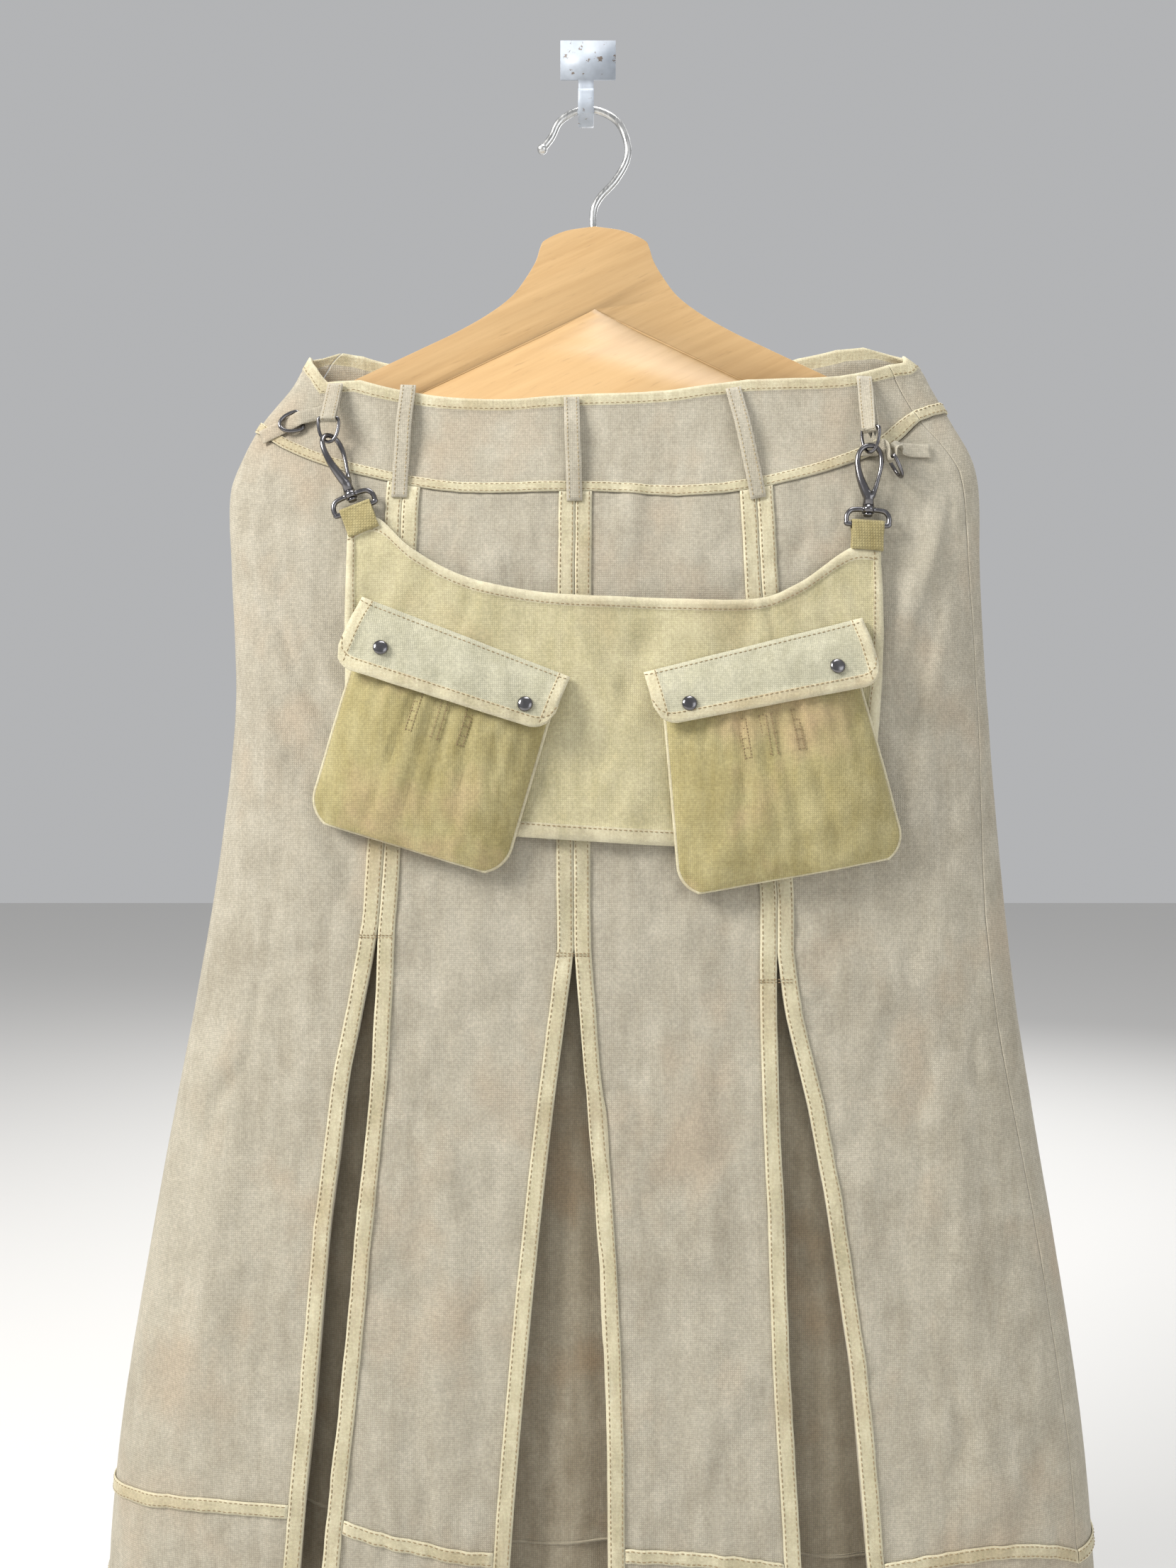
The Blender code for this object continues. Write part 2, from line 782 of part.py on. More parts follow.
def back_pieces():
    grid = column_grid(back_angle_at, BACK_COLUMNS, BACK_TIER, PANEL_ROWS)
    sheet("back_panel", grid_points(grid), CLOTH, TAUPE)
    hem = hem_grid(back_angle_at, BACK_COLUMNS, BACK_TIER)
    sheet("back_hem", raised_grid(hem, (3, 4)), CLOTH, TAUPE)
    return grid, hem


def pleat_bands(panels, hems):
    """The cream tape down each side of each pleat, from the waist seam to the hem."""
    out = SEAT + BAND_CLOTH
    for pleat in range(3):
        sides = (
            ("left", pleat, (-2, -1)),
            ("right", pleat + 1, (0, 1)),
        )
        for side, panel, pair in sides:
            rows = []
            for row in panels[panel][:-1]:
                rows.append([cloth_point(*row[k], out) for k in pair])
            for i, row in enumerate(hems[panel][1:]):
                raise_by = BINDING_RAISE if i > 1 else 0.0
                rows.append([cloth_point(*row[k], out + raise_by) for k in pair])
            sheet(f"pleat_band_{pleat + 1}_{side}", rows, BAND_CLOTH, CREAM)


def tier_band(name, upper, lower, first, last):
    """The cream tape over a tier seam, from column first to column last."""
    out = SEAT + BAND_CLOTH
    rows = [
        [cloth_point(*upper[-2][k], out) for k in range(first, last + 1)],
        [cloth_point(*upper[-1][k], out) for k in range(first, last + 1)],
        [cloth_point(*lower[1][k], out) for k in range(first, last + 1)],
    ]
    for row in rows:
        inset = (row[1] - row[0]).normalized() * GAP
        row[0] += inset
        row[-1] -= (row[-1] - row[-2]).normalized() * GAP
    sheet(name, rows, BAND_CLOTH, CREAM)


def tier_bands(panels, hems, back, back_hem):
    for panel in range(4):
        first = 0 if panel == 0 else 1
        last = len(panels[panel][0]) - (1 if panel == 3 else 2)
        tier_band(f"tier_band_{panel + 1}", panels[panel], hems[panel], first, last)
    tier_band("tier_band_back", back, back_hem, 0, BACK_COLUMNS - 1)


def waist_levels(seam, angle):
    top = waist_top(angle)
    return [
        top,
        top - WAIST_BINDING,
        top - WAIST_BINDING - 0.001,
        (top + seam) / 2,
        seam + WAIST_BAND_WIDTH,
        seam + GAP / 2,
    ]


def waist_ends(side, z):
    return (front_edges(0, z)[0], front_edges(3, z)[1]) if side == "front" else back_ends(z)


def waist_spots(side):
    """(z, angle) of the waistband's columns at the seam, the same as those of the panels below."""
    if side == "back":
        return seam_spots(back_angle_at, BACK_COLUMNS)
    spots = []
    for panel in range(4):
        angle_at, columns, _ = panel_functions(panel)
        found = seam_spots(angle_at, columns)
        spots += found if panel == 0 else found[1:]
    return spots


def waistband(side):
    """One waistband, its bound top edge proud, and the cream tape along its lower edge."""
    columns = []
    for seam, angle in waist_spots(side):
        start, end = waist_ends(side, seam)
        share = (angle - start) / (end - start)
        places = []
        for z in waist_levels(seam, angle):
            start, end = waist_ends(side, z)
            places.append((z, start + (end - start) * share))
        columns.append(places)
    rows = [list(row) for row in zip(*columns)]
    points = []
    for i, row in enumerate(rows):
        raise_by = BINDING_RAISE if i < 2 else 0.0
        points.append([cloth_point(*place, raise_by) for place in row])
    tape = [[cloth_point(*place, SEAT + BAND_CLOTH) for place in row] for row in rows[4:]]
    sheet(f"waistband_{side}", points, WAISTBAND_CLOTH, TAUPE)
    sheet(f"waist_tape_{side}", tape, BAND_CLOTH, CREAM)


INSERT_CLOTH = 0.0010
INSERT_BEHIND = CLOTH + 0.0004 + INSERT_CLOTH
INSERT_TOP_RISE = 0.010


def insert_section(left, right, depth, ripple):
    """Across one insert: a return behind each panel's edge, and the floor between, set back by depth.

    left and right are each panel's edge point and the point under its band's inner line.
    """
    turn = depth / 2
    path = [left[0], left[1]]
    path.append(left[1] + Vector((-turn, turn, 0)))
    path.append(left[1] + BACK * depth)
    span = right[1] - left[1]
    for k in range(1, 6):
        t = k / 6
        wave = ripple * depth * math.sin(2.2 * math.pi * t + 1)
        path.append(left[1] + span * t + BACK * (depth + wave))
    path.append(right[1] + BACK * depth)
    path.append(right[1] + Vector((turn, turn, 0)))
    path += [right[1], right[0]]
    return path


def edge_points(panel_grid, hem_grid_rows, columns, top):
    """Points behind a panel's edge and band line from height top down to the hem."""
    rows = panel_grid + hem_grid_rows[1:]
    spots = [[cloth_point(*row[k], -INSERT_BEHIND) for k in columns] for row in rows]
    i = next(k for k, row in enumerate(rows) if row[columns[0]][0] < top)
    above, below = rows[i - 1][columns[0]][0], rows[i][columns[0]][0]
    share = (above - top) / (above - below)
    first = [a.lerp(b, share) for a, b in zip(spots[i - 1], spots[i])]
    return [first] + spots[i:-1] + [[a.lerp(b, 0.7) for a, b in zip(spots[-2], spots[-1])]]


def pleat_inserts(panels, hems):
    for pleat in range(3):
        top = PLEAT_TOPS[pleat] + INSERT_TOP_RISE
        left = edge_points(panels[pleat], hems[pleat], (-1, -2), top)
        right = edge_points(panels[pleat + 1], hems[pleat + 1], (0, 1), top)
        rows = []
        for i, (a, b) in enumerate(zip(left, right)):
            share = i / (len(left) - 1)
            rows.append(insert_section(a, b, 0.0032 + 0.0140 * share**0.7, 0.14))
        sheet(f"pleat_insert_{pleat + 1}", rows, INSERT_CLOTH, SHADE)


# Belt loops, straps and tabs


def belt_loop(name, angle_of, top_x, bottom_x, low):
    """A strap from the waistband's top edge to just below the waist seam, standing off between."""
    path = []
    stand_off = [0.0011, 0.0030, 0.0046, 0.0050, 0.0044, 0.0034, 0.0024, 0.0015]
    for k, out in enumerate(stand_off):
        t = k / (len(stand_off) - 1)
        x = top_x + (bottom_x - top_x) * t
        high = waist_top(angle_of(x, -0.22)) + 0.0004
        z = high + (low - high) * t
        path.append(cloth_point(z, angle_of(x, z), out + LOOP_CLOTH / 2 - 0.0002))
    widths = []
    for p in path:
        z = p.z
        angle = angle_of(p.x, z)
        widths.append(cloth_point(z, angle + 0.05) - cloth_point(z, angle - 0.05))
    strip(name, path, widths, 0.0092, LOOP_CLOTH, TAUPE)


def belt_loops():
    front = ((-0.1058, -0.1092, -0.2835), (-0.0097, -0.0078, -0.2860), (0.0854, 0.0985, -0.2840))
    for k, (top_x, bottom_x, low) in enumerate(front):
        belt_loop(f"belt_loop_front_{k + 1}", front_angle, top_x, bottom_x, low)
    back = ((-0.098, -0.108, -0.2740), (0.008, 0.008, -0.2760), (0.114, 0.126, -0.2740))
    for k, (top_x, bottom_x, low) in enumerate(back):
        belt_loop(f"belt_loop_back_{k + 1}", back_angle, top_x, bottom_x, low)


def turned(degrees, vector=RIGHT):
    """vector turned about the vertical."""
    return Matrix.Rotation(math.radians(degrees), 3, "Z") @ vector


def chain_way(chain):
    """Direction up the clip chain in front view, before it follows the apron's slope."""
    lean = math.radians(chain.lean)
    return Vector((math.sin(lean), 0, math.cos(lean)))


def chain_frame(chain):
    """Bar of the swivel ring, top of the hook, and bar of the hanging ring above it."""
    bar = apron_point(chain.bar_x, chain.bar_z, -CLOTH / 2)
    hook = BOSS_TO_BAR + HOOK_LENGTH
    way = chain_way(chain)
    rough = bar + way * hook
    back = front_point(chain.strap_x, rough.z, chain.ring_out).y - bar.y
    slope = math.asin(back / hook)
    top = bar + way * hook * math.cos(slope) + BACK * back
    return bar, top, top + UP * (RING_DROP - RING_HOLD)


def side_strap(chain):
    """A strap from the waistband's top edge, folded round the bar of the hanging ring."""
    bar = chain_frame(chain)[2]
    top = waist_top(front_angle(chain.strap_x, -0.215)) - 0.0008
    seat = BINDING_RAISE + SEAT + STRAP_CLOTH / 2 + 0.0003
    across = turned(chain.ring_turn)
    behind = UP.cross(across).normalized()
    bend = RING_WIRE + SEAT + STRAP_CLOTH / 2 + 0.0002
    along_top = front_point(chain.strap_x + 0.003, top) - front_point(chain.strap_x - 0.003, top)
    inner = front_point(chain.strap_x, top, seat)
    outer = front_point(chain.strap_x, top, seat + STRAP_CLOTH + GAP)
    path = [inner]
    widths = [along_top.normalized()]
    twists = (0.35, 0.7)
    for t in twists:
        path.append(inner.lerp(bar + behind * bend, t))
        widths.append(turned(chain.ring_turn * t))
    for k in range(7):
        swing = math.radians(180 * k / 6)
        path.append(bar + behind * bend * math.cos(swing) - UP * bend * math.sin(swing))
        widths.append(across)
    for t in reversed(twists):
        path.append(outer.lerp(bar - behind * bend, t))
        widths.append(turned(chain.ring_turn * t))
    path.append(outer)
    widths.append(along_top.normalized())
    strip(f"side_strap_{chain.name}", path, widths, 0.0088, STRAP_CLOTH, TAUPE)


def d_ring(name, bar, across, down, width, drop, radius, material):
    """A D-shaped ring: a straight bar, and a bow that hangs from it."""
    half = width / 2
    points = [bar - across * half * k for k in (-0.85, 0.0, 0.85)]
    for k in range(11):
        swing = math.radians(8 + 164 * k / 10)
        side = across * (-half * math.cos(swing))
        points.append(bar + side + down * drop * math.sin(swing) ** 0.8)
    return wire(name, points, radius, material, closed=True, sides=1)


def strap_ring(chain):
    _, _, bar = chain_frame(chain)
    across = turned(chain.ring_turn)
    name = f"strap_ring_{chain.name}"
    d_ring(name, bar, across, -UP, RING_WIDTH, RING_DROP, RING_WIRE, METAL)


def clip_place(chain, turn):
    """Matrix of a clip: origin at the swivel, local Z up the chain, local X across."""
    bar, top, _ = chain_frame(chain)
    up = (top - bar).normalized()
    way = chain_way(chain)
    across = Vector((way.z, 0, -way.x))
    depth = up.cross(across)
    basis = Matrix((across, depth, up)).transposed().to_4x4()
    spin = Matrix.Rotation(math.radians(turn), 4, "Z")
    return Matrix.Translation(bar + up * BOSS_TO_BAR) @ basis @ spin


Bend = namedtuple("Bend", "x z size")
HOOK_OUTLINE = [
    Bend(0.0004, 0.0075, 1.9),
    Bend(-0.0032, 0.0135, 1.7),
    Bend(-0.0060, 0.0210, 1.35),
    Bend(-0.0072, 0.0285, 1.1),
    Bend(-0.0060, 0.0345, 1.0),
    Bend(-0.0022, 0.0379, 1.0),
    Bend(0.0022, 0.0379, 1.0),
    Bend(0.0054, 0.0350, 1.0),
    Bend(0.0066, 0.0300, 1.0),
    Bend(0.0062, 0.0240, 0.8),
    Bend(0.0048, 0.0175, 0.8),
    Bend(0.0032, 0.0115, 1.0),
]


def snap_hook(chain):
    """The cast hook with its gate, and the post and head that turn in the swivel."""
    points = [Vector((b.x, 0, b.z)) for b in HOOK_OUTLINE]
    sizes = [b.size for b in HOOK_OUTLINE]
    name = f"snap_hook_{chain.name}"
    body = as_mesh(wire(name, points, CLIP_WIRE, METAL, closed=True, radii=sizes))
    pieces = (
        ("barrel", 0.0023, 0.0105, 0.0031, 0.0026),
        ("post", -0.0030, 0.0040, 0.0015, 0.0015),
        ("head", -0.0039, -0.0023, 0.0024, 0.0026),
    )
    for label, low, high, radius_low, radius_high in pieces:
        bar = cone(
            f"{name}_{label}",
            Vector((0, 0, low)),
            Vector((0, 0, high)),
            radius_low,
            radius_high,
            METAL,
        )
        combine(body, bar, "UNION")
        bar.matrix_world = clip_place(chain, chain.hook_turn) @ bar.matrix_world
    body.matrix_world = clip_place(chain, chain.hook_turn)


def swivel_ring(chain):
    """The D that turns on the hook's post, its bar through the webbing."""
    half = [(0.0112, -0.0090), (0.0122, -0.0078), (0.0122, -0.0045), (0.0108, -0.0018), (0.0080, -0.0004)]
    outline = [(0.0, -0.0090)] + half + [(0.0, 0.0)] + [(-x, z) for x, z in reversed(half)]
    points = [Vector((x, 0, z)) for x, z in outline]
    name = f"swivel_ring_{chain.name}"
    body = as_mesh(wire(name, points, CLIP_WIRE, METAL, closed=True, sides=1))
    place = clip_place(chain, 0)
    low, high = Vector((0, 0, -0.0020)), Vector((0, 0, 0.0020))
    boss = cone(f"{name}_boss", low, high, 0.0034, 0.0034, METAL)
    hole = cone(f"{name}_hole", low * 3, high * 3, 0.0019, 0.0019, METAL)
    combine(body, boss, "UNION")
    combine(body, hole, "DIFFERENCE")
    boss.matrix_world = place @ boss.matrix_world
    hole.matrix_world = place @ hole.matrix_world
    body.matrix_world = place


def webbing_loop(chain):
    """Webbing folded over the swivel ring's bar, one end on each side of the apron's corner."""
    bar = chain_frame(chain)[0]
    way = chain_way(chain)
    turn = Vector((way.z, 0, -way.x))
    bend = CLIP_WIRE + GAP + WEBBING_CLOTH / 2

    def leg(down, out):
        place = bar - way * down
        return apron_point(place.x, place.z, out)

    front = SEAT + BINDING_RAISE + WEBBING_CLOTH / 2
    back = -CLOTH - SEAT - WEBBING_CLOTH / 2
    path = [leg(WEBBING_LENGTH, back), leg(0.0065, back - 0.0001)]
    for k in range(7):
        swing = math.radians(-10 + 200 * k / 6)
        path.append(bar + BACK * bend * math.cos(swing) + way * bend * math.sin(swing))
    path += [leg(0.0065, front + 0.0001), leg(WEBBING_LENGTH, front)]
    span = 0.004
    widths = []
    for p in path:
        high = apron_point(p.x + turn.x * span, p.z + turn.z * span)
        low = apron_point(p.x - turn.x * span, p.z - turn.z * span)
        widths.append((high - low).normalized())
    for k in range(2, len(path) - 2):
        widths[k] = turn
    strip(f"webbing_loop_{chain.name}", path, widths, WEBBING_WIDTH, WEBBING_CLOTH, KHAKI)


SPARE_WIRE = 0.0011
SPARE_WIDTH = 0.0126
SPARE_DROP = 0.0125
TAB_WIDTH = 0.0086
# The left tab lies on the waistband and passes over its ring's bar: x, z and height of its middle
Route = namedtuple("Route", "x z out")
LEFT_TAB = [
    Route(-0.1560, -0.2297, 0.0010),
    Route(-0.1612, -0.2312, 0.0012),
    Route(-0.1657, -0.2329, 0.0026),
    Route(-0.1695, -0.2343, 0.0037),
    Route(-0.1733, -0.2359, 0.0026),
    Route(-0.1780, -0.2379, 0.0019),
    Route(-0.1850, -0.2412, 0.0022),
    Route(-0.1925, -0.2448, 0.0024),
]
LEFT_BAR = Route(-0.1695, -0.2343, 0.0016)
LEFT_RING_RISE = 14.0
RIGHT_BAR = Vector((0.1756, -0.0568, -0.2600))
RIGHT_RING_LEAN = 28.0
RIGHT_TAB_Z = -0.2540


def left_ring_frame():
    """The left spare ring's bar, its direction, and the way its bow lies."""
    bar = front_point(*LEFT_BAR)
    ahead = front_point(LEFT_TAB[-2].x, LEFT_TAB[-2].z, LEFT_BAR.out)
    way = (ahead - bar).normalized()
    normal = outward(LEFT_BAR.z, front_angle(LEFT_BAR.x, LEFT_BAR.z))
    across = normal.cross(way).normalized()
    rise = math.radians(LEFT_RING_RISE)
    return bar, across, way * math.cos(rise) + normal * math.sin(rise)


def left_tab():
    bar, across, way = left_ring_frame()
    path = [front_point(*place) for place in LEFT_TAB]
    strip("side_tab_left", path, [across] * len(path), TAB_WIDTH, STRAP_CLOTH, TAUPE)
    name = "spare_ring_left"
    d_ring(name, bar, across, way, SPARE_WIDTH, SPARE_DROP, SPARE_WIRE, METAL)


def right_tab():
    """A tab sewn down at both ends, pinched in the middle into a loop that holds the ring's bar."""
    bend = SPARE_WIRE + GAP + STRAP_CLOTH / 2 + 0.0001
    hang = RIGHT_BAR

    def flat(x, out):
        return front_point(x, RIGHT_TAB_Z, out)

    stops = [
        (flat(0.1590, 0.0023), 90),
        (flat(0.1640, 0.0026), 88),
        (flat(0.1690, 0.0042), 70),
        (hang + Vector((-bend - 0.0016, 0.0010, 0.0066)), 35),
        (hang + Vector((-bend - 0.0001, 0.0, 0.0040)), 8),
        (hang + Vector((-bend, 0, 0.0006)), 0),
        (hang + Vector((-bend * 0.7, 0, -bend * 0.7)), 0),
        (hang + Vector((0, 0, -bend)), 0),
        (hang + Vector((bend * 0.7, 0, -bend * 0.7)), 0),
        (hang + Vector((bend, 0, 0.0006)), 0),
        (hang + Vector((bend + 0.0001, 0.0, 0.0040)), -8),
        (hang + Vector((bend + 0.0016, 0.0010, 0.0066)), -35),
        (flat(0.1830, 0.0042), -70),
        (flat(0.1885, 0.0026), -88),
        (flat(0.1945, 0.0023), -90),
        (flat(0.2005, 0.0023), -90),
    ]
    path = [place for place, _ in stops]
    widths = []
    for place, degrees in stops:
        share = math.radians(degrees)
        high, low = front_point(place.x, RIGHT_TAB_Z + 0.004), front_point(place.x, RIGHT_TAB_Z - 0.004)
        widths.append(BACK * math.cos(share) - (high - low).normalized() * math.sin(share))
    strip("side_tab_right", path, widths, TAB_WIDTH, STRAP_CLOTH, TAUPE)
    lean = math.radians(RIGHT_RING_LEAN)
    down = Vector((math.sin(lean), 0, -math.cos(lean)))
    name = "spare_ring_right"
    d_ring(name, hang, BACK, down, SPARE_WIDTH, SPARE_DROP, SPARE_WIRE, METAL)


# Pocket apron


def apron_out(x, z):
    """How far the apron stands off the skirt: a little more where it sags between the pockets."""
    sag = 0.0018 * math.exp(-(((x - 0.012) / 0.03) ** 2) - ((z + 0.415) / 0.05) ** 2)
    return APRON_STANDOFF + sag


def apron_point(x, z, out=0.0):
    ring = row_at(RINGS, z)
    middle, half = (ring.left + ring.right) / 2, (ring.right - ring.left) / 2
    share = min(abs(x - middle) / half, 0.98)
    y = HANGER_Y - ring.front * (1 - share**ROUNDNESS) ** (1 / ROUNDNESS)
    return Vector((x, y - apron_out(x, z) - out, z))


def apron_outline(s, t):
    """A place on the apron: s from left to right, t from the top edge to the bottom."""
    top, bottom = along(APRON_TOP, s), along(APRON_BOTTOM, s)
    left, right = along(APRON_LEFT, t), along(APRON_RIGHT, t)
    corner = (
        Vector(APRON_TOP[0]) * (1 - s) * (1 - t)
        + Vector(APRON_TOP[-1]) * s * (1 - t)
        + Vector(APRON_BOTTOM[0]) * (1 - s) * t
        + Vector(APRON_BOTTOM[-1]) * s * t
    )
    return top * (1 - t) + bottom * t + left * (1 - s) + right * s - corner


def apron():
    shares = [0.0, 0.055] + [k / 12 for k in range(1, 12)] + [0.945, 1.0]
    drops = [0.0, 0.05, 0.06, 0.2, 0.35, 0.5, 0.65, 0.8, 0.94, 0.95, 1.0]
    rows = []
    for t in drops:
        bound = BINDING_RAISE if t <= 0.05 or t >= 0.95 else 0.0
        row = []
        for s in shares:
            place = apron_outline(s, t)
            row.append(apron_point(place.x, place.y, bound))
        rows.append(row)
    sheet("apron", rows, CLOTH, APRON_CLOTH)


def pocket_place(pocket, a, b):
    """Front view place of a point a across and b down a pocket bag."""
    turn = math.radians(pocket.tilt)
    x = pocket.x + a * math.cos(turn) + b * math.sin(turn)
    z = pocket.z + a * math.sin(turn) - b * math.cos(turn)
    return x, z


TUCKS = (-0.26, -0.06, 0.06, 0.26)


def pocket_half_width(pocket, b):
    half = (pocket.mouth + (pocket.bottom - pocket.mouth) * b / pocket.drop) / 2
    rise = b - (pocket.drop - POCKET_CORNER)
    if rise > 0:
        half -= POCKET_CORNER - math.sqrt(max(POCKET_CORNER**2 - rise**2, 0.0))
    return half


def pocket_front_depth(pocket, share, b):
    """How far the front of a pocket stands off its back at share -1 to 1 across, b down."""
    drop = b / pocket.drop
    body = pocket.depth * (0.56 + 0.44 * math.sin(math.pi * min(drop * 0.95, 1.0)) ** 0.8)
    body *= (1 - abs(share) ** 3.0) ** 0.6
    body *= (1 - max(drop - 0.55, 0.0) ** 2 / 0.2025) ** 0.5 if drop < 1 else 0.0
    tuck = 0.0
    for place in TUCKS:
        tuck -= 0.0016 * math.exp(-(((share - place * (1 + 0.5 * drop)) / 0.05) ** 2))
    return body + tuck * math.sin(math.pi * min(max(drop, 0.0), 1.0))


POCKET_ROWS = [0.0, 0.14, 0.28, 0.44, 0.60, 0.75, 0.86, 0.94, 0.985]
POCKET_SPAN = 14


def pocket_bag(pocket):
    """An open-topped bag: each row goes across the front and comes back behind, then the foot closes."""
    wall = 0.0010
    back_out = BINDING_RAISE + SEAT
    rings = []
    for g in POCKET_ROWS:
        b = pocket.drop * g
        half = pocket_half_width(pocket, b)
        ring = []
        for k in range(POCKET_SPAN + 1):
            share = -math.cos(math.pi * k / POCKET_SPAN)
            x, z = pocket_place(pocket, half * share, b)
            depth = max(pocket_front_depth(pocket, share, b), 0.0) + 2 * wall + 0.0006
            ring.append(apron_point(x, z, back_out + depth))
        for k in range(POCKET_SPAN - 1, 0, -1):
            share = -math.cos(math.pi * k / POCKET_SPAN)
            x, z = pocket_place(pocket, half * share, b)
            ring.append(apron_point(x, z, back_out))
        rings.append(ring)
    mesh = bpy.data.meshes.new(f"pocket_{pocket.name}")
    shape = bmesh.new()
    loops = [[shape.verts.new(p) for p in ring] for ring in rings]
    count = len(loops[0])
    for high, low in zip(loops, loops[1:]):
        for k in range(count):
            n = (k + 1) % count
            shape.faces.new((high[k], low[k], low[n], high[n]))
    foot = loops[-1]
    for k in range(POCKET_SPAN):
        front_a, front_b = foot[k], foot[k + 1]
        back_a = foot[-k] if k else foot[0]
        back_b = foot[-k - 1] if k + 1 < POCKET_SPAN else foot[POCKET_SPAN]
        corners = [front_a, back_a, back_b, front_b]
        unique = list(dict.fromkeys(corners))
        if len(unique) > 2:
            shape.faces.new(unique)
    shape.to_mesh(mesh)
    shape.free()
    mesh.shade_smooth()
    bag = add_object(mesh.name, mesh, KHAKI)
    solidify(bag, wall)
    bag.modifiers["wall"].use_even_offset = False


def flap_place(flap, a, b):
    turn = math.radians(flap.slope)
    x = flap.x + a * math.cos(turn) + b * math.sin(turn)
    z = flap.z + a * math.sin(turn) - b * math.cos(turn)
    return x, z


def flap_out(b):
    """Sewn to the apron at the top, the flap leans out over the pocket's mouth."""
    return row_at(FLAP_LEAN, b).out


def flap_drop(flap, share):
    """The flap's length at share 0 to 1 of its width, with its two lower corners rounded."""
    full = flap.drop_left + (flap.drop_right - flap.drop_left) * share
    edge = min(share, 1 - share) * flap.length
    if edge >= FLAP_CORNER:
        return full
    left = FLAP_CORNER - edge
    return full - FLAP_CORNER + math.sqrt(FLAP_CORNER**2 - left**2)


def flaps():
    shares = [0.0, 0.02, 0.05, 0.1, 0.2, 0.35, 0.5, 0.65, 0.8, 0.9, 0.95, 0.98, 1.0]
    for flap in FLAPS:
        rows = []
        for t in (0.0, 0.2, 0.4, 0.6, 0.80, 0.82, 1.0):
            row = []
            for share in shares:
                a = (share - 0.5) * flap.length
                b = flap_drop(flap, share) * t
                x, z = flap_place(flap, a, b)
                bound = BINDING_RAISE if t > 0.8 else 0.0
                row.append(apron_point(x, z, flap_out(b) + bound))
            rows.append(row)
        sheet(f"flap_{flap.name}", rows, CLOTH, APRON_CLOTH)
        for k, a in enumerate(flap.studs):
            stud(f"stud_{flap.name}_{k + 1}", flap, a)


def stud(name, flap, a):
    """A press stud's cap: a low turned dome on the flap."""
    x, z = flap_place(flap, a, STUD_DROP)
    seat = apron_point(x, z, flap_out(STUD_DROP) + SEAT)
    step = 0.004
    below = flap_place(flap, a, STUD_DROP + step)
    above = flap_place(flap, a, STUD_DROP - step)
    low = apron_point(*below, flap_out(STUD_DROP + step))
    high = apron_point(*above, flap_out(STUD_DROP - step))
    side_a = apron_point(*flap_place(flap, a - step, STUD_DROP), flap_out(STUD_DROP))
    side_b = apron_point(*flap_place(flap, a + step, STUD_DROP), flap_out(STUD_DROP))
    normal = (low - high).cross(side_b - side_a).normalized()
    mesh = bpy.data.meshes.new(name)
    profile = [(0.0, 0.0016), (0.0024, 0.0014), (0.0038, 0.0009)]
    profile += [(STUD_RADIUS, 0.0002), (STUD_RADIUS, 0.0), (0.0, 0.0)]
    edges = [(k, k + 1) for k in range(len(profile) - 1)]
    mesh.from_pydata([(r, 0, h) for r, h in profile], edges, [])
    cap = add_object(name, mesh, METAL)
    turn = cap.modifiers.new("turn", "SCREW")
    turn.steps = turn.render_steps = 12
    turn.use_merge_vertices = True
    turn.merge_threshold = 0.00001
    place = normal.to_track_quat("Z", "Y").to_matrix().to_4x4()
    cap.matrix_world = Matrix.Translation(seat + normal * 0.0003) @ place


# Hanger and wall hook


def hanger():
    """The shaped wooden hanger, with the hole that its wire stands in."""
    outline = [(HANGER_X + p.x, p.z) for p in HANGER_HALF]
    outline += [(HANGER_X - p.x, p.z) for p in reversed(HANGER_HALF[1:-1])]
    mesh = bpy.data.meshes.new("hanger")
    shape = bmesh.new()
    front = [shape.verts.new((x, HANGER_Y - HANGER_THICKNESS / 2, z)) for x, z in outline]
    face = shape.faces.new(front)
    grown = bmesh.ops.extrude_face_region(shape, geom=[face])
    moved = [v for v in grown["geom"] if isinstance(v, bmesh.types.BMVert)]
    bmesh.ops.translate(shape, verts=moved, vec=(0, HANGER_THICKNESS, 0))
    reach = HANGER_HALF[-6].x
    for vertex in shape.verts:
        out = min(abs(vertex.co.x - HANGER_X) / reach, 1.0) ** 2
        share = 1 - out * (1 - HANGER_TIP_THICKNESS / HANGER_THICKNESS)
        vertex.co.y = HANGER_Y + (vertex.co.y - HANGER_Y) * share
    bmesh.ops.recalc_face_normals(shape, faces=shape.faces)
    shape.to_mesh(mesh)
    shape.free()
    made = add_object("hanger", mesh, WOOD)
    round_edges = made.modifiers.new("round", "BEVEL")
    round_edges.width = 0.002
    round_edges.segments = 2
    round_edges.angle_limit = math.radians(50)
    top = Vector((HANGER_X, HANGER_Y, -0.105))
    hole = cone("wire_hole", Vector((HANGER_X, HANGER_Y, -0.1295)), top, WIRE_HOLE, WIRE_HOLE, WOOD)
    combine(made, hole, "DIFFERENCE")


def hanger_hook():
    steps = 34
    points = []
    for k in range(steps + 1):
        p = along([(q.x, q.z) for q in HOOK_ROUTE], k / steps)
        points.append(Vector((p.x, HANGER_Y, p.y)))
    points[0] = Vector((HANGER_X, HANGER_Y, -0.1292))
    points[1] = Vector((HANGER_X, HANGER_Y, -0.1165))
    made = as_mesh(wire("hanger_hook", points, HANGER_WIRE, STEEL, sides=2))
    ball = bpy.data.meshes.new("hook_ball")
    shape = bmesh.new()
    bmesh.ops.create_uvsphere(shape, u_segments=12, v_segments=8, radius=HOOK_BALL)
    shape.to_mesh(ball)
    shape.free()
    end = add_object("hook_ball", ball, STEEL, CUTTERS)
    end.location = points[-1]
    end.hide_render = True
    end.display_type = "WIRE"
    combine(made, end, "UNION")


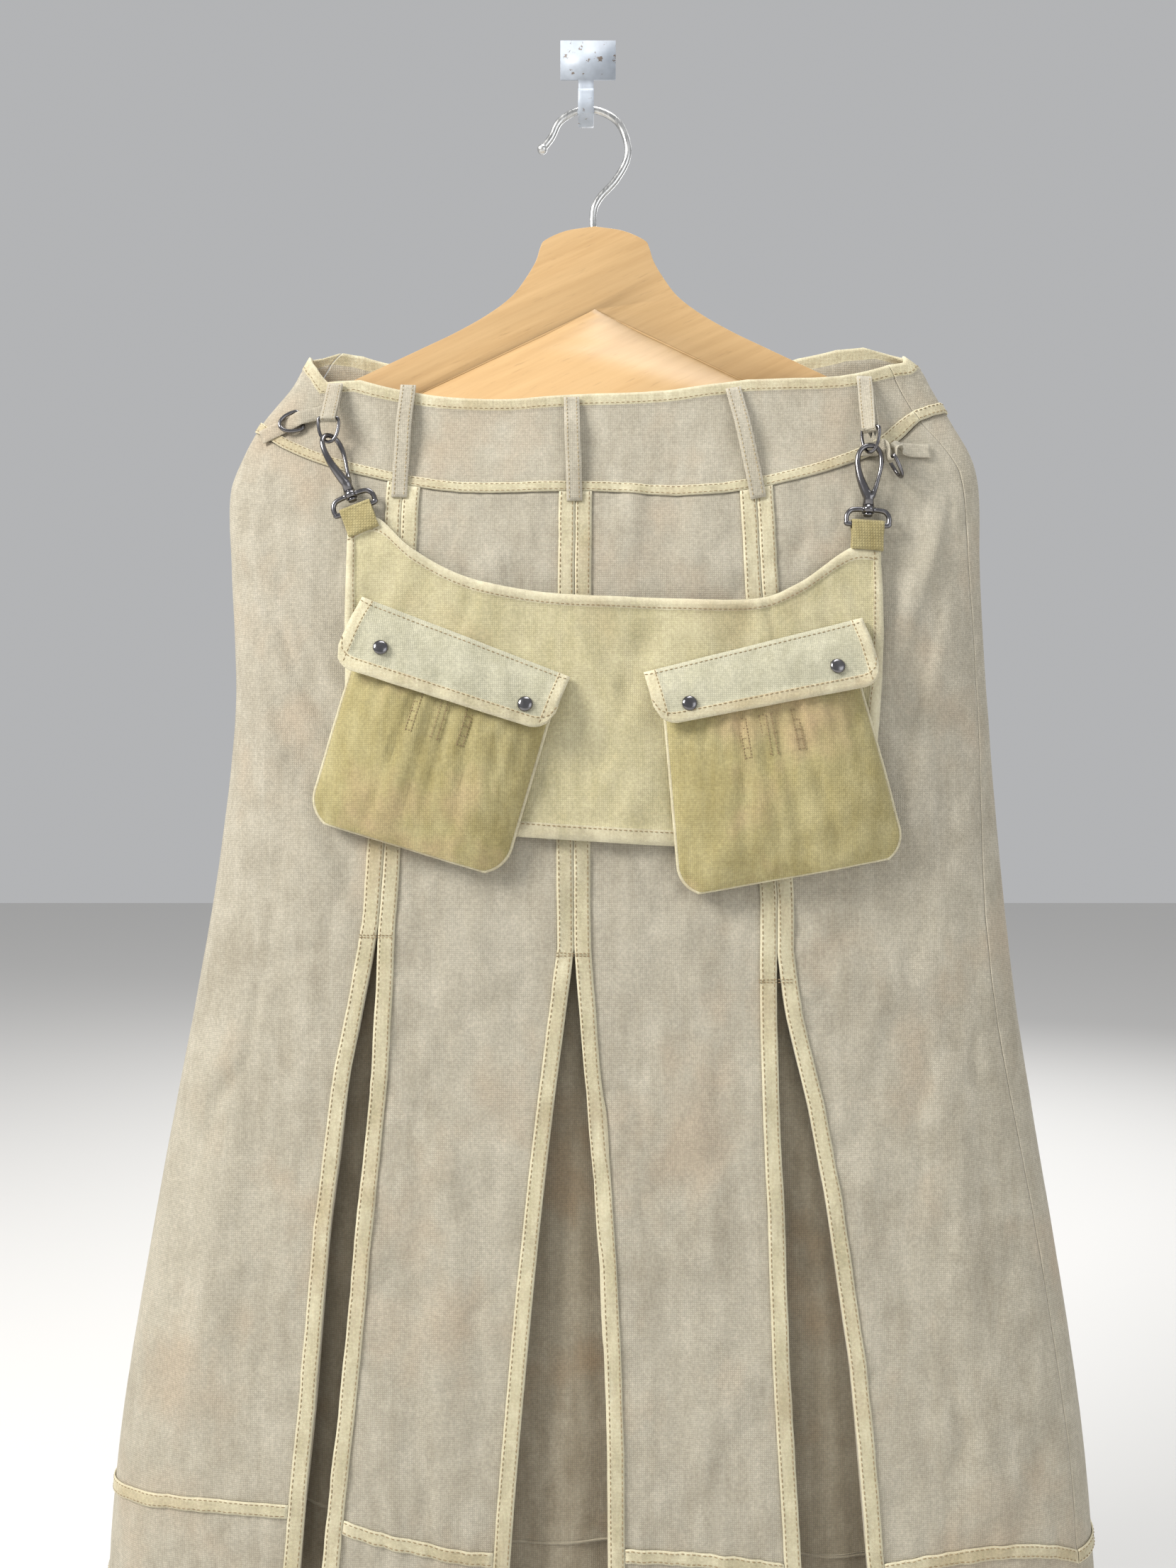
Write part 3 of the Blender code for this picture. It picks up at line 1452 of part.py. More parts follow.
def wall_hook():
    """A plate on the wall, with a tongue that runs down, forward and up as the hook."""
    plate = bpy.data.meshes.new("wall_hook")
    shape = bmesh.new()
    bmesh.ops.create_cube(shape, size=1.0)
    shape.to_mesh(plate)
    shape.free()
    size = Matrix.Diagonal((PLATE_WIDTH, PLATE_THICKNESS, PLATE_HEIGHT, 1))
    plate.transform(Matrix.Translation((0, -PLATE_THICKNESS / 2, 0)) @ size)
    made = add_object("wall_hook", plate, PAINT)
    rest = -0.0440 - HANGER_WIRE - GAP - PLATE_THICKNESS / 2
    back = -PLATE_THICKNESS * 0.55
    route = [
        (back, 0.0),
        (back, -0.0200),
        (back, -0.0330),
        (back - 0.0010, -0.0385),
        (back - 0.0035, -0.0425),
        (back - 0.0080, -0.0450),
        (back - 0.0140, rest + 0.0002),
        (HANGER_Y - 0.0005, rest),
        (HANGER_Y - 0.0040, rest + 0.0013),
        (TONGUE_FRONT - 0.0002, rest + 0.0055),
        (TONGUE_FRONT, rest + 0.0130),
    ]
    path = [Vector((TONGUE_X, y, z)) for y, z in route]
    tongue = strip("tongue", path, [RIGHT] * len(path), TONGUE_WIDTH, PLATE_THICKNESS * 0.8, PAINT)
    PARTS.objects.unlink(tongue)
    CUTTERS.objects.link(tongue)
    tongue.hide_render = True
    tongue.display_type = "WIRE"
    combine(made, tongue, "UNION")


def main():
    panels = front_panels()
    hems = hem_tiers()
    back, back_hem = back_pieces()
    pleat_inserts(panels, hems)
    waistband("front")
    waistband("back")
    pleat_bands(panels, hems)
    tier_bands(panels, hems, back, back_hem)
    belt_loops()
    for chain in CHAINS:
        side_strap(chain)
        strap_ring(chain)
        snap_hook(chain)
        swivel_ring(chain)
        webbing_loop(chain)
    left_tab()
    right_tab()
    apron()
    for pocket in POCKETS:
        pocket_bag(pocket)
    flaps()
    hanger()
    hanger_hook()
    wall_hook()


main()
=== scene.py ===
"""Long A-line skirt with three front pleats and a clipped-on pocket apron, dressed for its photograph.

Metres, +Z up. +X is to the right and -Y is the front, as seen by someone facing the wall.
The origin is the middle of the wall plate's back, and the wall is the plane y = 0.
"""

import json
import math
from collections import namedtuple

import bmesh
import bpy
from mathutils import Matrix, Vector, noise

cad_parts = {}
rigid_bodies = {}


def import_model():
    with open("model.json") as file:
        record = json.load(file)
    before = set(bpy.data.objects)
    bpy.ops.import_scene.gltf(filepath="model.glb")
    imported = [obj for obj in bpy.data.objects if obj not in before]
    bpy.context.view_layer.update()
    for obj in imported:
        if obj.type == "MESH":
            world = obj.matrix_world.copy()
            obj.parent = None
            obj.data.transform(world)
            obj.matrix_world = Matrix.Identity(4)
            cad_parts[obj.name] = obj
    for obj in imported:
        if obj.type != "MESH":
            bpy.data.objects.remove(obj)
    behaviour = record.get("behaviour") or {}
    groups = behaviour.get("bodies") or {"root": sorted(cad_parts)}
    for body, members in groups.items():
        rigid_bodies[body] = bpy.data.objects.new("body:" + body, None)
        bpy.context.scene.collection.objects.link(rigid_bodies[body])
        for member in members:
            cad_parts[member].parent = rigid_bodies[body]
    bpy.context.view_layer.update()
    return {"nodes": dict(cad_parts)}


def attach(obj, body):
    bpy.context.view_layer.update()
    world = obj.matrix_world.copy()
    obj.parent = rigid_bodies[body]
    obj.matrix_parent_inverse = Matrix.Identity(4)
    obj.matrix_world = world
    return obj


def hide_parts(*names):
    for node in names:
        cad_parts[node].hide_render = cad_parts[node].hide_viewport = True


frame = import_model()

# Driving sizes
GAP = 0.0003
CLOTH = 0.0012
WAISTBAND_CLOTH = 0.0016
BAND_CLOTH = 0.0008
STRAP_CLOTH = 0.0009
LOOP_CLOTH = 0.0014
HANGER_Y = -0.026
ROUNDNESS = 3.0
SEAT = 0.0004
EDGE_STEP = 0.0010
SIDE_SEAM_GAP = 0.0006
PLEAT_BAND_WIDTH = 0.0094
TIER_BAND_HALF = 0.0038
WAIST_BAND_WIDTH = 0.0060
WAIST_BINDING = 0.0070
HEM_TIER_DROP = 0.058
HEM_BINDING = 0.0090
BINDING_RAISE = 0.0005
APRON_STANDOFF = 0.0070
UP = Vector((0, 0, 1))
RIGHT = Vector((1, 0, 0))
BACK = Vector((0, 1, 0))

# The skirt's outline and depth at each height, outside of the cloth
Ring = namedtuple("Ring", "z left right front back")
RINGS = [
    Ring(-0.180, -0.152, 0.174, 0.0130, 0.0125),
    Ring(-0.191, -0.165, 0.187, 0.0140, 0.0130),
    Ring(-0.200, -0.171, 0.199, 0.0148, 0.0135),
    Ring(-0.212, -0.178, 0.206, 0.0155, 0.0140),
    Ring(-0.233, -0.195, 0.218, 0.0190, 0.0160),
    Ring(-0.255, -0.207, 0.230, 0.0240, 0.0180),
    Ring(-0.276, -0.214, 0.234, 0.0290, 0.0190),
    Ring(-0.320, -0.213, 0.234, 0.0360, 0.0200),
    Ring(-0.400, -0.210, 0.238, 0.0420, 0.0200),
    Ring(-0.490, -0.219, 0.245, 0.0460, 0.0200),
    Ring(-0.575, -0.233, 0.254, 0.0500, 0.0200),
    Ring(-0.660, -0.249, 0.267, 0.0540, 0.0200),
    Ring(-0.745, -0.264, 0.281, 0.0580, 0.0200),
    Ring(-0.830, -0.277, 0.293, 0.0620, 0.0200),
    Ring(-0.915, -0.284, 0.300, 0.0640, 0.0200),
    Ring(-0.970, -0.286, 0.302, 0.0650, 0.0200),
]

# How far the side seams lie inside the skirt's edges: the right one in front, the left one behind
Inset = namedtuple("Inset", "z right left")
SIDE_SEAMS = [
    Inset(-0.190, 0.020, 0.012),
    Inset(-0.231, 0.023, 0.012),
    Inset(-0.250, 0.016, 0.012),
    Inset(-0.281, 0.012, 0.012),
    Inset(-0.400, 0.010, 0.012),
    Inset(-0.551, 0.019, 0.012),
    Inset(-0.700, 0.016, 0.012),
    Inset(-0.970, 0.018, 0.012),
]

# Heights of the waistband's top edge and of the seam below it, from left to right
Point = namedtuple("Point", "x z")
WAIST_FRONT = [
    Point(-0.166, -0.1930),
    Point(-0.1520, -0.2080),
    Point(-0.1460, -0.2125),
    Point(-0.1380, -0.2098),
    Point(-0.1180, -0.2109),
    Point(-0.0960, -0.2165),
    Point(-0.0500, -0.2220),
    Point(0.0130, -0.2220),
    Point(0.0780, -0.2177),
    Point(0.1136, -0.2109),
    Point(0.1594, -0.2080),
    Point(0.1740, -0.2030),
    Point(0.1880, -0.1935),
]
WAIST_BACK = [
    Point(-0.166, -0.1930),
    Point(-0.1500, -0.1876),
    Point(-0.1200, -0.1945),
    Point(-0.0700, -0.2030),
    Point(-0.0200, -0.2050),
    Point(0.0445, -0.2012),
    Point(0.0900, -0.1955),
    Point(0.1300, -0.1870),
    Point(0.1600, -0.1840),
    Point(0.1800, -0.1865),
    Point(0.1880, -0.1935),
]
SEAM_FRONT = [
    Point(-0.202, -0.2370),
    Point(-0.1860, -0.2461),
    Point(-0.1664, -0.2582),
    Point(-0.1351, -0.2688),
    Point(-0.1070, -0.2759),
    Point(-0.0720, -0.2805),
    Point(0.0000, -0.2797),
    Point(0.0590, -0.2824),
    Point(0.1078, -0.2758),
    Point(0.1344, -0.2684),
    Point(0.1769, -0.2522),
    Point(0.2094, -0.2319),
    Point(0.2160, -0.2270),
]
SEAM_BACK = [
    Point(-0.202, -0.2370),
    Point(-0.1500, -0.2540),
    Point(0.0080, -0.2640),
    Point(0.1500, -0.2520),
    Point(0.2160, -0.2270),
]

# The seam that each pleat hangs from, and its two edges below the top of the opening
Edge = namedtuple("Edge", "z left right")
PLEATS = [
    [
        Edge(-0.270, -0.1065, -0.1065),
        Edge(-0.487, -0.1156, -0.1156),
        Edge(-0.536, -0.1191, -0.1191),
        Edge(-0.600, -0.1322, -0.1209),
        Edge(-0.695, -0.1443, -0.1298),
        Edge(-0.799, -0.1523, -0.1390),
        Edge(-0.887, -0.1603, -0.1485),
        Edge(-0.960, -0.1655, -0.1530),
    ],
    [
        Edge(-0.270, -0.0071, -0.0071),
        Edge(-0.483, -0.0087, -0.0087),
        Edge(-0.546, -0.0077, -0.0077),
        Edge(-0.600, -0.0156, -0.0030),
        Edge(-0.694, -0.0267, 0.0052),
        Edge(-0.797, -0.0366, 0.0103),
        Edge(-0.884, -0.0433, 0.0109),
        Edge(-0.960, -0.0480, 0.0112),
    ],
    [
        Edge(-0.270, 0.0970, 0.0970),
        Edge(-0.512, 0.1070, 0.1070),
        Edge(-0.561, 0.1066, 0.1066),
        Edge(-0.617, 0.1070, 0.1211),
        Edge(-0.682, 0.1098, 0.1330),
        Edge(-0.777, 0.1123, 0.1463),
        Edge(-0.888, 0.1187, 0.1553),
        Edge(-0.960, 0.1225, 0.1600),
    ],
]
PLEAT_TOPS = [-0.536, -0.546, -0.561]

# Height of the tier seam at the left edge, middle and right edge of each panel, front panels first
Tier = namedtuple("Tier", "left middle right")
TIERS = [
    Tier(-0.864, -0.857, -0.854),
    Tier(-0.859, -0.871, -0.879),
    Tier(-0.876, -0.880, -0.887),
    Tier(-0.888, -0.881, -0.893),
]
BACK_TIER = Tier(-0.893, -0.880, -0.864)

# The largest soft folds: a straight crest or trough from one point to another on the front or back
Fold = namedtuple("Fold", "side x0 z0 x1 z1 width height")
FOLDS = [
    Fold("front", -0.192, -0.350, -0.150, -0.432, 0.0085, -0.0034),
    Fold("front", -0.173, -0.340, -0.141, -0.402, 0.0080, -0.0028),
    Fold("front", -0.199, -0.380, -0.156, -0.490, 0.0095, -0.0030),
    Fold("front", 0.196, -0.318, 0.172, -0.380, 0.0085, -0.0032),
    Fold("front", 0.205, -0.360, 0.186, -0.470, 0.0100, -0.0026),
    Fold("front", -0.205, -0.640, -0.222, -0.800, 0.0130, 0.0030),
    Fold("front", -0.082, -0.660, -0.076, -0.860, 0.0140, 0.0028),
    Fold("front", 0.062, -0.640, 0.070, -0.860, 0.0150, 0.0028),
    Fold("front", 0.205, -0.620, 0.226, -0.850, 0.0150, 0.0032),
    Fold("back", -0.110, -0.380, -0.150, -0.900, 0.0200, -0.0040),
    Fold("back", 0.010, -0.330, 0.012, -0.900, 0.0200, -0.0040),
    Fold("back", 0.125, -0.380, 0.170, -0.900, 0.0200, -0.0040),
]

# Pocket apron edges, front view
APRON_TOP = [
    Point(-0.1380, -0.3020),
    Point(-0.1215, -0.2960),
    Point(-0.1004, -0.3146),
    Point(-0.0680, -0.3315),
    Point(-0.0250, -0.3400),
    Point(0.0201, -0.3427),
    Point(0.0900, -0.3440),
    Point(0.1190, -0.3350),
    Point(0.1500, -0.3140),
    Point(0.1680, -0.3130),
]
APRON_BOTTOM = [Point(-0.1350, -0.4720), Point(0.0060, -0.4816), Point(0.1560, -0.4900)]
APRON_LEFT = [Point(-0.1380, -0.3020), Point(-0.1386, -0.3800), Point(-0.1350, -0.4720)]
APRON_RIGHT = [Point(0.1680, -0.3130), Point(0.1675, -0.3900), Point(0.1560, -0.4900)]

# Pocket bags: middle of the mouth, lean of the side edges from straight down, and sizes
Pocket = namedtuple("Pocket", "name x z tilt mouth bottom drop depth")
POCKETS = [
    Pocket("left", -0.0734, -0.3829, -16.5, 0.1144, 0.1150, 0.1073, 0.0110),
    Pocket("right", 0.0965, -0.3904, 10.0, 0.1090, 0.1290, 0.1131, 0.0110),
]
POCKET_CORNER = 0.018

# Pocket flaps: middle of the sewn top edge, its slope, length and drop
Flap = namedtuple("Flap", "name x z slope length drop_left drop_right studs")
FLAPS = [
    Flap("left", -0.0692, -0.3656, -21.4, 0.1272, 0.0425, 0.0340, (-0.0404, 0.0462)),
    Flap("right", 0.0935, -0.3703, 14.2, 0.1282, 0.0320, 0.0395, (-0.0444, 0.0410)),
]
# How far the flap's outside stands off the apron, going down from its seam
Lean = namedtuple("Lean", "drop out")
FLAP_LEAN = [
    Lean(0.000, 0.0021),
    Lean(0.006, 0.0056),
    Lean(0.012, 0.0098),
    Lean(0.018, 0.0120),
    Lean(0.027, 0.0138),
    Lean(0.045, 0.0170),
]
FLAP_CORNER = 0.012
STUD_RADIUS = 0.0043
STUD_DROP = 0.0238

# Clip chains: strap position, ring bar in front view, lean, stand-off of the hanging ring, and turns
Chain = namedtuple("Chain", "name strap_x bar_x bar_z lean ring_out hook_turn ring_turn")
CHAINS = [
    Chain("left", -0.1490, -0.1336, -0.2907, -21.3, 0.0105, 50.0, 0.0),
    Chain("right", 0.1628, 0.1607, -0.3000, 3.5, 0.0100, 0.0, -45.0),
]
BOSS_TO_BAR = 0.0090
HOOK_LENGTH = 0.0379
RING_HOLD = 0.0034
CLIP_WIRE = 0.0015
RING_WIRE = 0.0010
RING_WIDTH = 0.0120
RING_DROP = 0.0140
WEBBING_WIDTH = 0.0186
WEBBING_LENGTH = 0.0150
WEBBING_CLOTH = 0.0011

# Hanger and wall hook
HANGER_X = 0.0040
HANGER_THICKNESS = 0.0140
HANGER_TIP_THICKNESS = 0.0125
HANGER_WIRE = 0.00215
WIRE_HOLE = 0.0025
HANGER_HALF = [
    Point(0.0000, -0.1164),
    Point(0.0170, -0.1190),
    Point(0.0295, -0.1245),
    Point(0.0325, -0.1290),
    Point(0.0352, -0.1373),
    Point(0.0416, -0.1480),
    Point(0.0500, -0.1586),
    Point(0.0644, -0.1693),
    Point(0.0836, -0.1800),
    Point(0.1060, -0.1906),
    Point(0.1780, -0.2245),
    Point(0.1880, -0.2320),
    Point(0.1950, -0.2420),
    Point(0.1970, -0.2510),
    Point(0.1930, -0.2585),
    Point(0.1850, -0.2545),
    Point(0.0496, -0.1906),
    Point(0.0270, -0.1800),
    Point(0.0000, -0.1660),
]
HOOK_ROUTE = [
    Point(0.0040, -0.1290),
    Point(0.0030, -0.1080),
    Point(0.0062, -0.0975),
    Point(0.0160, -0.0865),
    Point(0.0229, -0.0745),
    Point(0.0236, -0.0640),
    Point(0.0180, -0.0510),
    Point(0.0060, -0.0440),
    Point(-0.0065, -0.0443),
    Point(-0.0170, -0.0505),
    Point(-0.0220, -0.0600),
    Point(-0.0275, -0.0672),
]
HOOK_BALL = 0.0030
PLATE_WIDTH = 0.0343
PLATE_HEIGHT = 0.0240
PLATE_THICKNESS = 0.0015
TONGUE_X = -0.0012
TONGUE_WIDTH = 0.0094
TONGUE_FRONT = -0.0325


def make_collections():
    cutters = bpy.data.collections.new("cutters")
    bpy.context.scene.collection.children.link(cutters)
    return bpy.context.scene.collection, cutters


PARTS, CUTTERS = make_collections()


# Materials


def shader_of(made):
    return made.node_tree.nodes["Principled BSDF"]


def new_node(made, kind, **values):
    node = made.node_tree.nodes.new(kind)
    for key, value in values.items():
        if hasattr(node, key):
            setattr(node, key, value)
        else:
            node.inputs[key.replace("_", " ")].default_value = value
    return node


def join(made, a, b):
    made.node_tree.links.new(a, b)


def mixed(made, factor, first, second, blend="MIX"):
    """A colour mix; each of the three is a socket or a constant."""
    node = made.node_tree.nodes.new("ShaderNodeMix")
    node.data_type = "RGBA"
    node.blend_type = blend
    for socket, value in ((node.inputs[0], factor), (node.inputs[6], first), (node.inputs[7], second)):
        if isinstance(value, bpy.types.NodeSocket):
            join(made, value, socket)
        elif isinstance(value, tuple):
            socket.default_value = (*value, 1)
        else:
            socket.default_value = value
    return node.outputs[2]


def ramp(made, source, low, high):
    """The source stretched so that low gives 0 and high gives 1."""
    node = new_node(made, "ShaderNodeMapRange", From_Min=low, From_Max=high)
    join(made, source, node.inputs[0])
    return node.outputs[0]


def grain(made, place, scale, detail=4.0, stretch=(1, 1, 1)):
    """A noise texture over the object, its scale in waves to the metre."""
    mapping = made.node_tree.nodes.new("ShaderNodeMapping")
    mapping.inputs["Scale"].default_value = stretch
    join(made, place, mapping.inputs[0])
    node = new_node(made, "ShaderNodeTexNoise", Scale=scale, Detail=detail, Roughness=0.6)
    join(made, mapping.outputs[0], node.inputs["Vector"])
    return node.outputs[0]


def threads(made, place, direction, pitch):
    node = made.node_tree.nodes.new("ShaderNodeTexWave")
    node.bands_direction = direction
    node.inputs["Scale"].default_value = 0.314 / pitch
    node.inputs["Distortion"].default_value = 1.2
    node.inputs["Detail"].default_value = 1.0
    join(made, place, node.inputs["Vector"])
    return node.outputs["Fac"]


def start_material(name, colour, roughness, metallic=0.0):
    made = bpy.data.materials.new(name)
    made.use_nodes = True
    shader = shader_of(made)
    shader.inputs["Base Color"].default_value = (*colour, 1)
    shader.inputs["Roughness"].default_value = roughness
    shader.inputs["Metallic"].default_value = metallic
    place = made.node_tree.nodes.new("ShaderNodeTexCoord").outputs["Object"]
    return made, shader, place


def bumped(made, shader, height, strength, distance):
    bump = new_node(made, "ShaderNodeBump", Strength=strength, Distance=distance)
    join(made, height, bump.inputs["Height"])
    join(made, bump.outputs[0], shader.inputs["Normal"])


def cloth_material(name, colour, dark, light, stain=None, pitch=0.0011, weave=0.5):
    """Garment-dyed plain weave: cloudy dye, fine flecks, threads both ways and paler raised edges."""
    made, shader, place = start_material(name, colour, 0.92)
    clouds = ramp(made, grain(made, place, 11, 6), 0.36, 0.66)
    blotches = ramp(made, grain(made, place, 48, 5), 0.40, 0.66)
    flecks = ramp(made, grain(made, place, 620, 3), 0.35, 0.70)
    streaks = ramp(made, grain(made, place, 150, 4, (1, 1, 0.16)), 0.38, 0.68)
    shade = mixed(made, clouds, dark, colour)
    shade = mixed(made, mixed(made, 0.5, blotches, streaks), shade, light)
    if stain:
        spots = ramp(made, grain(made, place, 19, 3, (1, 1, 0.7)), 0.54, 0.72)
        shade = mixed(made, spots, shade, stain)
    warp = threads(made, place, "X", pitch)
    weft = threads(made, place, "Z", pitch)
    woven = mixed(made, 1.0, warp, weft, "MULTIPLY")
    specks = mixed(made, flecks, (0.30, 0.30, 0.30), (0.72, 0.72, 0.72))
    shade = mixed(made, 0.30, shade, specks, "OVERLAY")
    shade = mixed(made, 0.16, shade, woven, "OVERLAY")
    worn = made.node_tree.nodes.new("ShaderNodeNewGeometry").outputs["Pointiness"]
    shade = mixed(made, ramp(made, worn, 0.53, 0.72), shade, tuple(min(c * 1.35, 1) for c in light))
    join(made, shade, shader.inputs["Base Color"])
    shader.inputs["Sheen Weight"].default_value = 0.12
    shader.inputs["Specular IOR Level"].default_value = 0.15
    bumped(made, shader, mixed(made, 0.35, woven, grain(made, place, 300, 4)), weave, 0.0005)
    return made


def metal_material(name, colour, roughness, scratches):
    made, shader, place = start_material(name, colour, roughness, 1.0)
    rub = grain(made, place, scratches, 4, (1, 1, 0.3))
    polished = tuple(c * 1.5 for c in colour)
    join(made, mixed(made, ramp(made, rub, 0.3, 0.8), colour, polished), shader.inputs["Base Color"])
    low, high = roughness * 0.7, roughness * 1.6
    rough = new_node(made, "ShaderNodeMapRange", From_Min=0.3, From_Max=0.7, To_Min=low, To_Max=high)
    join(made, rub, rough.inputs[0])
    join(made, rough.outputs[0], shader.inputs["Roughness"])
    bumped(made, shader, rub, 0.05, 0.0003)
    return made


def wood_material(name, colour, dark, lean):
    """Beech with its grain running along one arm of the hanger."""
    made, shader, place = start_material(name, colour, 0.42)
    mapping = made.node_tree.nodes.new("ShaderNodeMapping")
    mapping.inputs["Rotation"].default_value = (0, lean, 0)
    join(made, place, mapping.inputs[0])
    turned_place = mapping.outputs[0]
    lines = grain(made, turned_place, 90, 5, (0.12, 1, 2.2))
    pores = grain(made, turned_place, 700, 3, (0.10, 1, 1))
    broad = grain(made, turned_place, 22, 4, (0.2, 1, 1.4))
    shade = mixed(made, ramp(made, lines, 0.38, 0.68), dark, colour)
    shade = mixed(made, ramp(made, broad, 0.35, 0.75), shade, tuple(c * 0.86 for c in colour))
    pits = mixed(made, 0.6, (0.0, 0.0, 0.0), ramp(made, pores, 0.60, 0.80))
    shade = mixed(made, pits, shade, tuple(c * 0.62 for c in dark))
    join(made, shade, shader.inputs["Base Color"])
    shader.inputs["Coat Weight"].default_value = 0.25
    shader.inputs["Coat Roughness"].default_value = 0.25
    bumped(made, shader, lines, 0.10, 0.0004)
    return made


def paint_material(name, paint, under):
    made, shader, place = start_material(name, paint, 0.42)
    chips = ramp(made, grain(made, place, 190, 6), 0.60, 0.63)
    dirt = ramp(made, grain(made, place, 60, 4), 0.40, 0.75)
    shade = mixed(made, dirt, paint, tuple(c * 0.72 for c in paint))
    shade = mixed(made, chips, shade, under)
    join(made, shade, shader.inputs["Base Color"])
    bumped(made, shader, chips, 0.35, 0.0002)
    return made


TAUPE = cloth_material(
    "taupe_cotton",
    (0.455, 0.415, 0.325),
    (0.385, 0.345, 0.265),
    (0.525, 0.485, 0.390),
    (0.47, 0.40, 0.30),
)
# The pleat inserts' cloth: the panels' taupe cotton in a slightly browner tone of its own, and painted darker
# as shade because the inserts lie in shadow inside the pleats.
PAINTED_SHADE_TAUPE = cloth_material(
    "pleat_cotton",
    (0.345, 0.300, 0.215),
    (0.270, 0.225, 0.155),
    (0.420, 0.370, 0.275),
    (0.33, 0.25, 0.16),
)
CREAM = cloth_material(
    "cream_tape", (0.60, 0.55, 0.37), (0.49, 0.44, 0.28), (0.70, 0.65, 0.48), (0.50, 0.42, 0.26), 0.0008, 0.6
)
APRON_CLOTH = cloth_material(
    "cream_cotton",
    (0.53, 0.48, 0.285),
    (0.455, 0.405, 0.235),
    (0.60, 0.555, 0.36),
    (0.50, 0.43, 0.25),
)
FLAP_CLOTH = cloth_material(
    "grey_cotton",
    (0.475, 0.455, 0.325),
    (0.405, 0.385, 0.275),
    (0.545, 0.525, 0.395),
)
POCKET_CLOTH = cloth_material(
    "khaki_cotton",
    (0.415, 0.355, 0.165),
    (0.335, 0.280, 0.120),
    (0.49, 0.43, 0.225),
    (0.51, 0.385, 0.22),
)
KHAKI = cloth_material(
    "khaki_webbing",
    (0.345, 0.285, 0.13),
    (0.26, 0.21, 0.09),
    (0.43, 0.37, 0.19),
    None,
    0.0016,
    0.9,
)
THREAD = cloth_material(
    "brown_thread",
    (0.235, 0.165, 0.085),
    (0.18, 0.12, 0.06),
    (0.31, 0.23, 0.13),
    None,
    0.0005,
    0.4,
)
PALE_THREAD = cloth_material(
    "tan_thread",
    (0.33, 0.26, 0.15),
    (0.25, 0.19, 0.11),
    (0.42, 0.34, 0.21),
    None,
    0.0005,
    0.4,
)
METAL = metal_material("gunmetal", (0.16, 0.155, 0.16), 0.17, 260)
STEEL = metal_material("steel_wire", (0.52, 0.52, 0.51), 0.27, 420)
WOOD = wood_material("hanger_wood_left", (0.64, 0.42, 0.20), (0.53, 0.33, 0.145), 0.43)
PAINT = paint_material("painted_steel", (0.50, 0.55, 0.62), (0.20, 0.16, 0.13))


# Smooth curves


def along(points, t):
    """A smooth curve through points, t from 0 to 1, evenly shared among its spans."""
    spans = len(points) - 1
    place = min(max(t, 0.0), 1.0) * spans
    i = min(int(place), spans - 1)
    u = place - i
    here, there = Vector(points[i]), Vector(points[i + 1])
    before = Vector(points[i - 1]) if i > 0 else here * 2 - there
    after = Vector(points[i + 2]) if i < spans - 1 else there * 2 - here
    a = (there - before) / 2
    b = (after - here) / 2
    return (
        here * (1 + 2 * u) * (1 - u) ** 2
        + a * u * (1 - u) ** 2
        + there * u * u * (3 - 2 * u)
        + b * u * u * (u - 1)
    )


def span_at(table, key):
    """Index of the table's span that holds key, and the share of the way along it."""
    way = 1 if table[-1][0] > table[0][0] else -1
    i = 0
    while i < len(table) - 2 and (key - table[i + 1][0]) * way > 0:
        i += 1
    share = (key - table[i][0]) / (table[i + 1][0] - table[i][0])
    return i, min(max(share, 0.0), 1.0)


def row_at(table, key):
    """The table's row at key, its first column, smooth between rows."""
    i, u = span_at(table, key)
    here, there = table[i], table[i + 1]
    before = table[max(i - 1, 0)]
    after = table[min(i + 2, len(table) - 1)]
    span = there[0] - here[0]
    values = [key]
    for k in range(1, len(here)):
        a = (there[k] - before[k]) / (there[0] - before[0]) * span
        b = (after[k] - here[k]) / (after[0] - here[0]) * span
        values.append(
            here[k] * (1 + 2 * u) * (1 - u) ** 2
            + a * u * (1 - u) ** 2
            + there[k] * u * u * (3 - 2 * u)
            + b * u * u * (u - 1)
        )
    return type(here)(*values)


def straight_row(table, key):
    """The table's row at key, in straight lines between rows."""
    i, u = span_at(table, key)
    return type(table[i])(key, *[a + (b - a) * u for a, b in zip(table[i][1:], table[i + 1][1:])])


def through_three(tier, f):
    """A quadratic through the values at 0, a half and 1."""
    return (
        tier.left * (1 - f) * (1 - 2 * f)
        + tier.middle * 4 * f * (1 - f)
        + tier.right * f * (2 * f - 1)
    )


# The skirt's surface: an angle round the body and a height


def signed_power(value, power):
    return math.copysign(abs(value) ** power, value)


